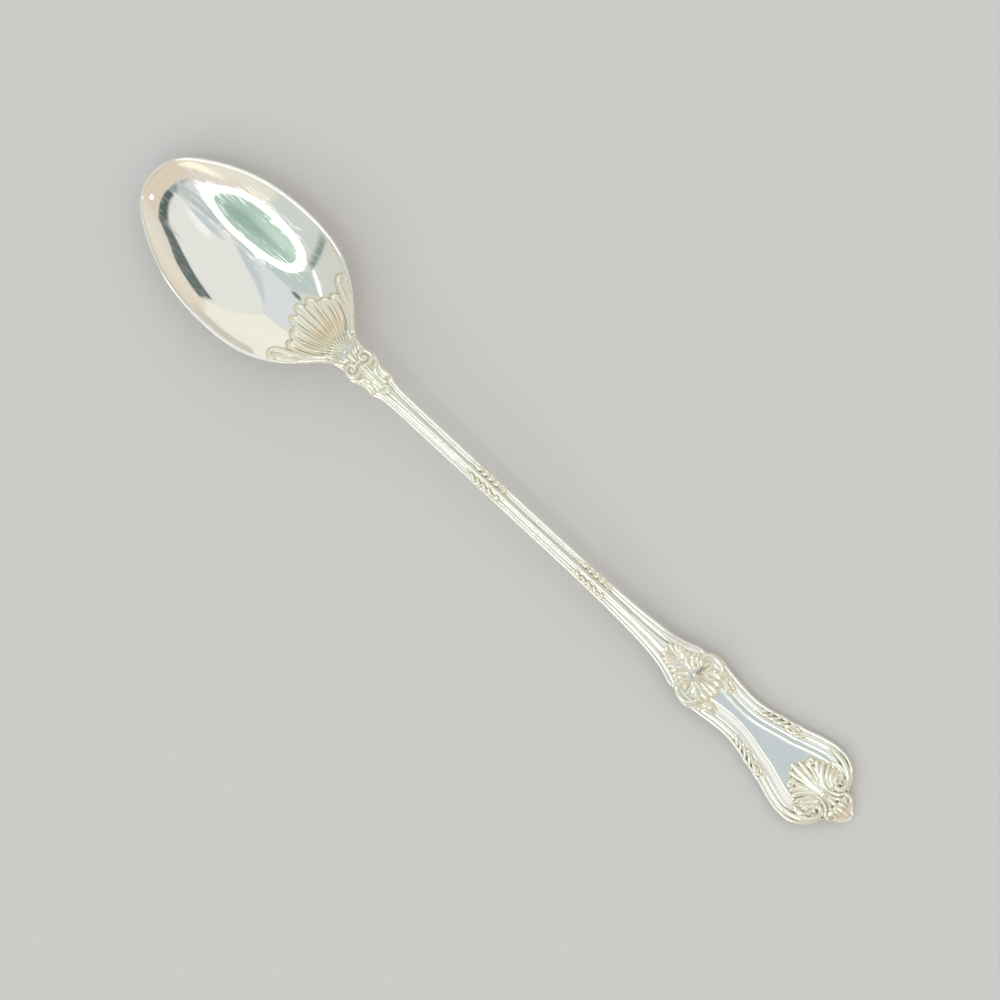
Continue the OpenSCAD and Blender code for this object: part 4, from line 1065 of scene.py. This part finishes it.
def disc(tree, way, under, colour, strength, soft, middle, spin, size):
    """Oval panel round its middle (polar, azimuth). size is its half sizes over its distance. In its own
    axes the direction is (a, b, c), and the panel is where (a/c, b/c) lies in the oval."""
    out = direction(*middle)
    down = direction(middle[0] + 90, middle[1])
    side = np.cross(out, down)
    r = math.radians(spin)
    along = (math.cos(r) * down + math.sin(r) * side) / size[0]
    across = (math.cos(r) * side - math.sin(r) * down) / size[1]
    a, b, c = (toward(tree, way, axis) for axis in (along, across, out))
    c = add(tree, "Math", operation="MAXIMUM", _0=c, _1=0.001)
    flat = add(tree, "CombineXYZ", X=a, Y=b)
    far = add(tree, "VectorMath", operation="LENGTH", _0=(flat, 0))
    far = add(tree, "Math", operation="DIVIDE", _0=(far, "Value"), _1=(c, 0))
    return lay_over(tree, under, (far, 0), (1 + soft, 1 - soft), colour, strength)


# Which output of such a node holds its colour
COLOUR_OUT = {"ShaderNodeValToRGB": 0, "ShaderNodeMix": 2}
# The room's panels, later ones over earlier ones: colour, softness of the edge, corners (polar, azimuth)
PANES = (
    # Warm wall
    ("DDD2BF", 0.07, ((52.7, 62.4), (77.4, 39.2), (77.4, 320.8), (48.8, 300.1), (27.2, 4.7))),
    # Cream board
    ("E9E6D8", 0.05, ((81.2, 250.8), (81.1, 268.4), (79.4, 287.9), (70.6, 298.2), (66.7, 268.1))),
    # Grey wall, its upright and a pale wall
    ("CFD7D3", 0.03, ((56.1, 237.1), (81.2, 250.8), (81.1, 268.4), (66.7, 268.1))),
    ("8C9C99", 0.03, ((56.1, 237.1), (81.2, 250.8), (81.2, 254.5), (55.5, 242.5))),
    ("D2D7D0", 0.01, ((59.2, 214.3), (56.1, 237.1), (81.2, 250.8), (88.9, 227.5), (75.2, 214.2))),
    # Grey blind
    ("BFCFCB", 0.05, ((55.2, 214.3), (28.9, 202.6), (9.2, 256.0), (53.9, 237.6))),
    # Bluish ceiling and its beam
    ("DBE1E4", 0.03, ((44.4, 126.9), (9.2, 256.0), (29.3, 204.6), (47.1, 171.9), (58.3, 145.1))),
    ("C4CED2", 0.035, ((40.0, 126.9), (12.0, 200.0), (9.2, 256.0), (6.0, 140.0))),
    # Cream wall and its foot
    ("F2F2E5", 0.01, (
        (67.2, 97.2), (44.4, 126.9), (63.7, 150.8), (86.3, 145.5), (88.8, 121.7), (77.5, 98.2))),
    ("CFCDC0", 0.02, ((75.5, 96.0), (89.0, 96.0), (89.0, 124.0), (79.0, 118.0))),
    # Reflector
    ("E7E9E5", 0.012, ((11.2, 275.7), (24.0, 349.3), (46.2, 62.8), (67.2, 97.2), (44.4, 126.9))),
    # Dark flag and its stand
    ("687473", 0.012, ((62.5, 98.6), (68.7, 95.2), (62.1, 79.7), (52.9, 64.6), (46.1, 64.9))),
    ("5C6866", 0.012, ((48.6, 66.3), (53.1, 63.6), (27.2, 2.7), (23.0, 5.1))),
    # Grey edge of the warm wall, and a soft grey card
    ("8C9E9C", 0.025, (
        (25.0, 5.1), (27.2, 4.7), (41.3, 306.3), (58.2, 293.6), (57.4, 291.6), (22.0, 322.2))),
    ("BEC8C8", 0.045, ((9.9, 296.6), (22.3, 341.4), (35.0, 325.0), (25.0, 290.0))),
    # Small dark clip
    ("7B8585", 0.012, ((39.1, 194.8), (34.3, 193.9), (30.1, 199.0), (34.0, 203.9), (38.0, 200.6))),
)
# Its ovals: colour, strength, softness of the edge, middle (polar, azimuth), spin, half sizes
DISCS = (
    # Strip lamp, small lamp and warm glow low down
    ("FFFFFF", 1.6, 0.15, (56.6, 226), 90, (0.18, 0.03)),
    ("FFFFFF", 2.0, 0.3, (51.9, 43.3), 0, (0.07, 0.05)),
    ("FFF6E2", 1.1, 0.3, (64.0, 300), 0, (0.08, 0.2)),
    # Bright patch of the reflector and a bluish patch overhead
    ("F8F9F5", 1.0, 0.4, (13.5, 25), 0, (0.09, 0.17)),
    ("C6D0D8", 1.0, 0.3, (10.0, 356), 0, (0.15, 0.08)),
    # Ring lamp, its greenish opening, and a darker and a lighter part of that
    ("FFFFFF", 3.6, 0.05, (39.5, 266.8), -6, (0.475, 0.375)),
    ("B6D0C4", 1.0, 0.06, (40.0, 267.2), -6, (0.355, 0.305)),
    ("94B3A9", 1.0, 0.9, (37.5, 272.0), 20, (0.12, 0.2)),
    ("C9E2D6", 1.0, 0.9, (50.5, 255.0), 30, (0.1, 0.14)),
)


def room():
    """Even soft light from all round, bluish overhead, warmer and darker low down, with cards."""
    world = bpy.data.worlds.new("room")
    bpy.context.scene.world = world
    world.use_nodes = True
    tree = world.node_tree
    tree.nodes.clear()
    way = add(tree, "TexCoord")
    parts = add(tree, "SeparateXYZ", Vector=(way, "Generated"))
    tone = ramp(tree, (parts, "Z"), (
        (0.0, "B8B0A0"), (0.12, "D2CBBB"), (0.22, "DFD7C7"), (0.35, "E8E1D1"), (0.6, "DEDBD2"),
        (0.85, "D7DCDB"), (1.0, "D5DBDE")))
    for spec in PANES:
        tone = pane(tree, way, tone, *spec)
    for spec in DISCS:
        tone = disc(tree, way, tone, *spec)
    sky = add(tree, "Background", Color=(tone, COLOUR_OUT[tone.bl_idname]), Strength=1.0)
    add(tree, "OutputWorld", Surface=(sky, 0))


def camera():
    """Looks almost straight down, with the spoon lying from upper left to lower right."""
    data = bpy.data.cameras.new("camera")
    data.lens = FOCAL * data.sensor_width
    data.clip_start = 0.01
    data.clip_end = 10.0
    turn = Matrix.Rotation(math.radians(CAMERA_TURN), 3, "Z")
    turn = turn @ Matrix.Rotation(math.radians(CAMERA_TILT), 3, "X")
    eye = Vector(CAMERA_AIM) + turn @ Vector((0, 0, CAMERA_FAR))
    bpy.context.scene.camera = put("camera", data)
    bpy.context.scene.camera.matrix_world = Matrix.Translation(eye) @ turn.to_4x4()


floor()
room()
camera()

bpy.context.scene.view_settings.view_transform = "Standard"
